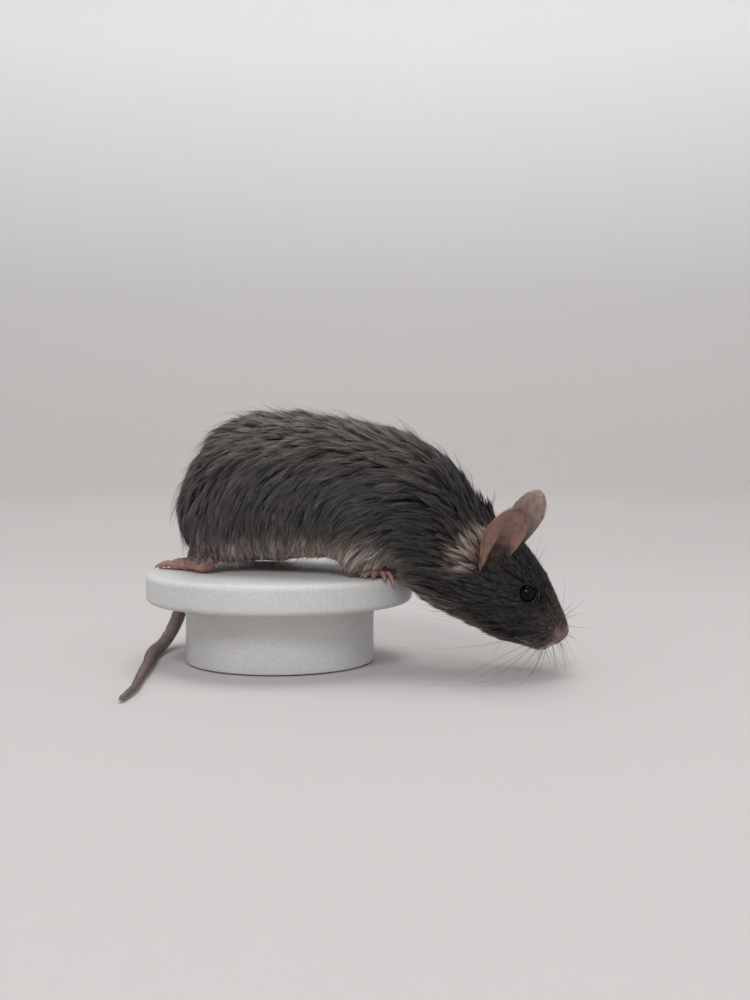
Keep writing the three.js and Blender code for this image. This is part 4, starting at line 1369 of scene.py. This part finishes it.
surface = Surface(tail_skin, tail_faces, tail_corners)
nearest = nearest_of(surface.points, tail_centres)
root_fur = fade(nearest / (len(tail_centres) - 1), 0.075, 0.16)
fields = {
    "flow": unit(np.gradient(tail_centres, axis=0))[nearest],
    "length": 0.95 + 2.0 * root_fur,
    "depth": 0.16 + 0.4 * root_fur,
    "width": 0.038 + 0.06 * root_fur,
    "lock": 0.8,
    "wisp": 0.4,
    "density": 12 + 34 * root_fur,
    "gather": 0.1 + 0.4 * root_fur,
    "coat": together(0.6 - 0.5 * root_fur, 0.15 * (1 - root_fur), 0.62 - 0.12 * root_fur),
}
keep = (surface.points[:, 2] > -BASE_TOP + 0.35) & (surface.normal[:, 2] > -0.8)
tufts("coat_tail", merged([grow(surface, fields, 51, keep)]), FINE)

# ---- eyes ----
eye_stops = [(0.3, (0.0010, 0.0008, 0.0008)), (0.75, (0.0028, 0.0020, 0.0019))]
EYE_BLACK = streaked_material("eye", 0.04, 0.13, 1500.0, eye_stops)
polar = np.linspace(0, math.pi, 34)[1:-1]
angle = circle(48)
cornea = EYE_RADIUS * (1 + 0.02 * bell(polar - math.pi, 0.6))
for name, side in SIDES:
    centre, look, along_eye, across_eye = eye_frame(side)
    wheel = np.cos(angle)[:, None] * along_eye + np.sin(angle)[:, None] * across_eye
    out, across = (way[:, None, None] for way in (-np.cos(polar) * cornea, np.sin(polar) * cornea))
    loops = centre + out * look + across * wheel
    points, faces, _ = loft(loops)
    name = "eyeball_" + name
    piece(name, new_mesh(name, place(points), faces), EYE_BLACK, "eye", name.replace("ball", ""))

# ---- claws and whiskers ----


def joined_tubes(name, tubes, mat, slot):
    points, faces = stacked(tubes)
    piece(name, new_mesh(name, place(points), faces), mat, slot)


claw_tubes = [tube(route, [0.24, 0.2, 0.11, 0.03], 10, 12, 0.03) for route in claw_routes]
claw_stops = [(0.3, (0.20, 0.135, 0.115)), (0.7, (0.42, 0.32, 0.28))]
joined_tubes("claws", claw_tubes, streaked_material("claw_horn", 0.35, 0.45, 2500.0, claw_stops), "paw_skin")

rng = np.random.default_rng(8)
whisker_tubes = []
WHISKER_THICK = 0.04
WHISKER_LOWEST = -BASE_TOP + 1.6  # so that none reaches below the floor


def whisker(root, way, size, droop):
    """A tapering hair that leaves root along way and bends by droop."""
    t = np.linspace(0, 1, 15)[:, None]
    centres = root + unit(way) * size * t + np.array(droop) * size * t**2.2
    centres[:, 2] = np.maximum(centres[:, 2], WHISKER_LOWEST + 0.4 * t[:, 0])
    whisker_tubes.append(swept(centres, WHISKER_THICK * (1 - 0.85 * t[:, 0] ** 0.8), 5, None, 0)[:2])


for _, side in SIDES:
    for row in range(5):
        for column in range(6 if row < 4 else 4):
            px = 53.4 - 0.62 * column - 0.08 * row
            pz = -7.2 - 0.85 * row - 0.12 * column
            spot = np.array([px, side * (2.2 + 0.52 * column - 0.1 * abs(row - 2)), pz])
            spot = furred.nearest([spot + rng.normal(0, 0.12, 3)])[0][0]
            out = np.array([0.62 - 0.24 * column, side * (0.95 + 0.05 * column), 0.42 - 0.3 * row])
            out = out + rng.normal(0, 0.10, 3)
            size = (7.0 + 2.5 * column) * rng.uniform(0.85, 1.15)
            droop = (-0.10 - 0.05 * column, side * 0.02, -0.10 + rng.normal(0, 0.05))
            whisker(spot, out, size, droop)
    for px, py, pz, out, size in (
        (47.9, 5.6, 1.6, (0.2, 0.8, 0.75), 7.5), (48.6, 5.2, 1.9, (0.5, 0.6, 0.8), 6.5),
        (45.5, 7.9, -7.8, (-0.2, 0.9, -0.5), 7.0), (51.0, 1.2, -12.6, (0.5, 0.3, -0.9), 4.0),
        (49.8, 1.0, -12.7, (0.1, 0.4, -0.9), 3.6),
    ):  # fmt: skip
        spot = furred.nearest([mirrored((px, py, pz), side)])[0][0]
        whisker(spot, mirrored(out, side), size, (-0.12, 0, -0.08))
whisker_stops = [(0.3, (0.03, 0.027, 0.026)), (0.7, (0.085, 0.078, 0.074))]
WHISKER = streaked_material("whisker_hair", 0.35, 0.45, 900.0, whisker_stops)
joined_tubes("whiskers", whisker_tubes, WHISKER, "fur")

# ---- the base ----
R, TOP, RIM, FOOT = BASE_RADIUS, BASE_TOP, 5.5, 18.0


def arc(cx, cz, r, start, end, count):
    """Part of a circle in an outline, from one angle in degrees to another."""
    turn = np.radians(np.linspace(start, end, count))
    return [(cx + r * math.cos(a), cz + r * math.sin(a)) for a in turn]


def turned(outline, angles):
    """Loops round the z axis from an outline of radii and heights."""
    return np.array([[(r * math.cos(a), r * math.sin(a), z) for a in angles] for r, z in outline])


neck = np.radians(np.linspace(0, 90, 12))
outline = (
    [(0.02, 0.0), (6.0, 0.0), (12.0, 0.0)]
    + arc(FOOT - 0.35, 0.35, 0.35, -90, 0, 6)
    + [(FOOT, z) for z in np.linspace(1.5, TOP - RIM - 3.4, 7)]
    + [(FOOT + 3 - 3 * math.cos(a), TOP - RIM - 3 + 3 * math.sin(a)) for a in neck]
    + arc(R - BASE_EDGE, TOP - RIM + BASE_EDGE, BASE_EDGE, -90, 0, 10)
    + arc(R - BASE_EDGE, TOP - BASE_EDGE, BASE_EDGE, 0, 90, 10)
    + [(r, TOP) for r in (21.0, 18.0, 14.0, 10.0, 6.0, 3.0, 0.02)]
)
points, faces, _ = loft(turned(outline, -circle(160)))
stand_mesh = new_mesh("stand_base_turned", points * MM, faces)
piece("stand_base_turned", stand_mesh, stand_material(), "stand", "stand_base")

# ---- floor, light and camera ----
# A round floor that curves up into a wall.
wall = [(0.01, 0.0), (0.3, 0.0), (0.6, 0.0), *arc(0.8, 0.5, 0.5, -90, 0, 14), (1.32, 1.1), (1.35, 1.8)]
loops = turned(wall, circle(96)) - (0, 0, 0.0002)
_, _, a, b = quads_of(*loops.shape[:2])
quads = np.stack([a, b, b + loops.shape[1], a + loops.shape[1]], 1)
cove = new_object("cove", new_mesh("cove", loops.reshape(-1, 3), quads, np.full(len(quads), 4)))
mat, tree, principled = material("cove", 0.9, Specular_IOR_Level=0.1)
# Painted light and shade: the floor's colour darkens a little behind the model, and the wall's lightens with
# height.
where, apart = node(tree, "TexCoord").outputs["Object"], node(tree, "SeparateXYZ")
feed(tree, apart.inputs["Vector"], where)
behind = node(tree, "VectorMath", operation="DOT_PRODUCT")
feed(tree, behind.inputs[0], where)
behind.inputs[1].default_value = (-0.454, 0.891, 0)
away = sum_of(tree, "MULTIPLY_ADD", behind.outputs["Value"], 2.0, 0.3)
floor_painted_shade = ramp(tree, away, [(0.2, (0.58, 0.56, 0.555)), (0.8, (0.53, 0.51, 0.505))])
height = sum_of(tree, "MULTIPLY", apart.outputs["Z"], 1.25)
wall_painted_light = ramp(tree, height, [(0.05, (1, 1, 1)), (0.25, (1.09, 1.11, 1.11)), (0.62, (1.68, 1.74, 1.74))])
feed(tree, principled.inputs["Base Color"], mixed(tree, 1.0, floor_painted_shade, wall_painted_light, "MULTIPLY"))
cove.data.materials.append(mat)

world = bpy.data.worlds.new("studio")
world.use_nodes = True
background = world.node_tree.nodes["Background"]
background.inputs["Color"].default_value = (0.95, 0.965, 1.0, 1)
background.inputs["Strength"].default_value = 0.55
bpy.context.scene.world = world


def softbox(name, at, aim, size, watts, colour=(1, 1, 1)):
    light = bpy.data.lights.new(name, "AREA")
    light.shape, light.size, light.energy, light.color = "DISK", size, watts, colour
    obj = new_object(name, light)
    obj.location, obj.rotation_mode = at, "QUATERNION"
    obj.rotation_quaternion = (Vector(aim) - Vector(at)).to_track_quat("-Z", "Y")


softbox("overhead", (-0.12, 0.22, 1.15), (0, 0, 0.03), 0.8, 5.6, (1.0, 0.99, 0.97))
softbox("front_fill", (0.7, -1.0, 0.55), (0, 0, 0.03), 0.7, 1.0)
softbox("catch_light", (0.27, -0.81, 0.72), (0.045, 0, 0.02), 0.3, 3.4)
softbox("wall_wash", (-0.15, 0.45, 0.9), (-0.62, 1.2, 0.72), 0.35, 1.6, (1.0, 0.995, 0.97))

camera_data = bpy.data.cameras.new("camera")
camera = new_object("camera", camera_data)
camera_data.lens, camera_data.sensor_width = 46.8, 36.0
camera_data.clip_start, camera_data.clip_end = 0.01, 20
camera.location = (0.129358, -0.213637, 0.042415)
camera.rotation_euler = (math.radians(87.3), 0, math.radians(27))
bpy.context.scene.camera = camera
bpy.context.scene.view_settings.view_transform = "Standard"
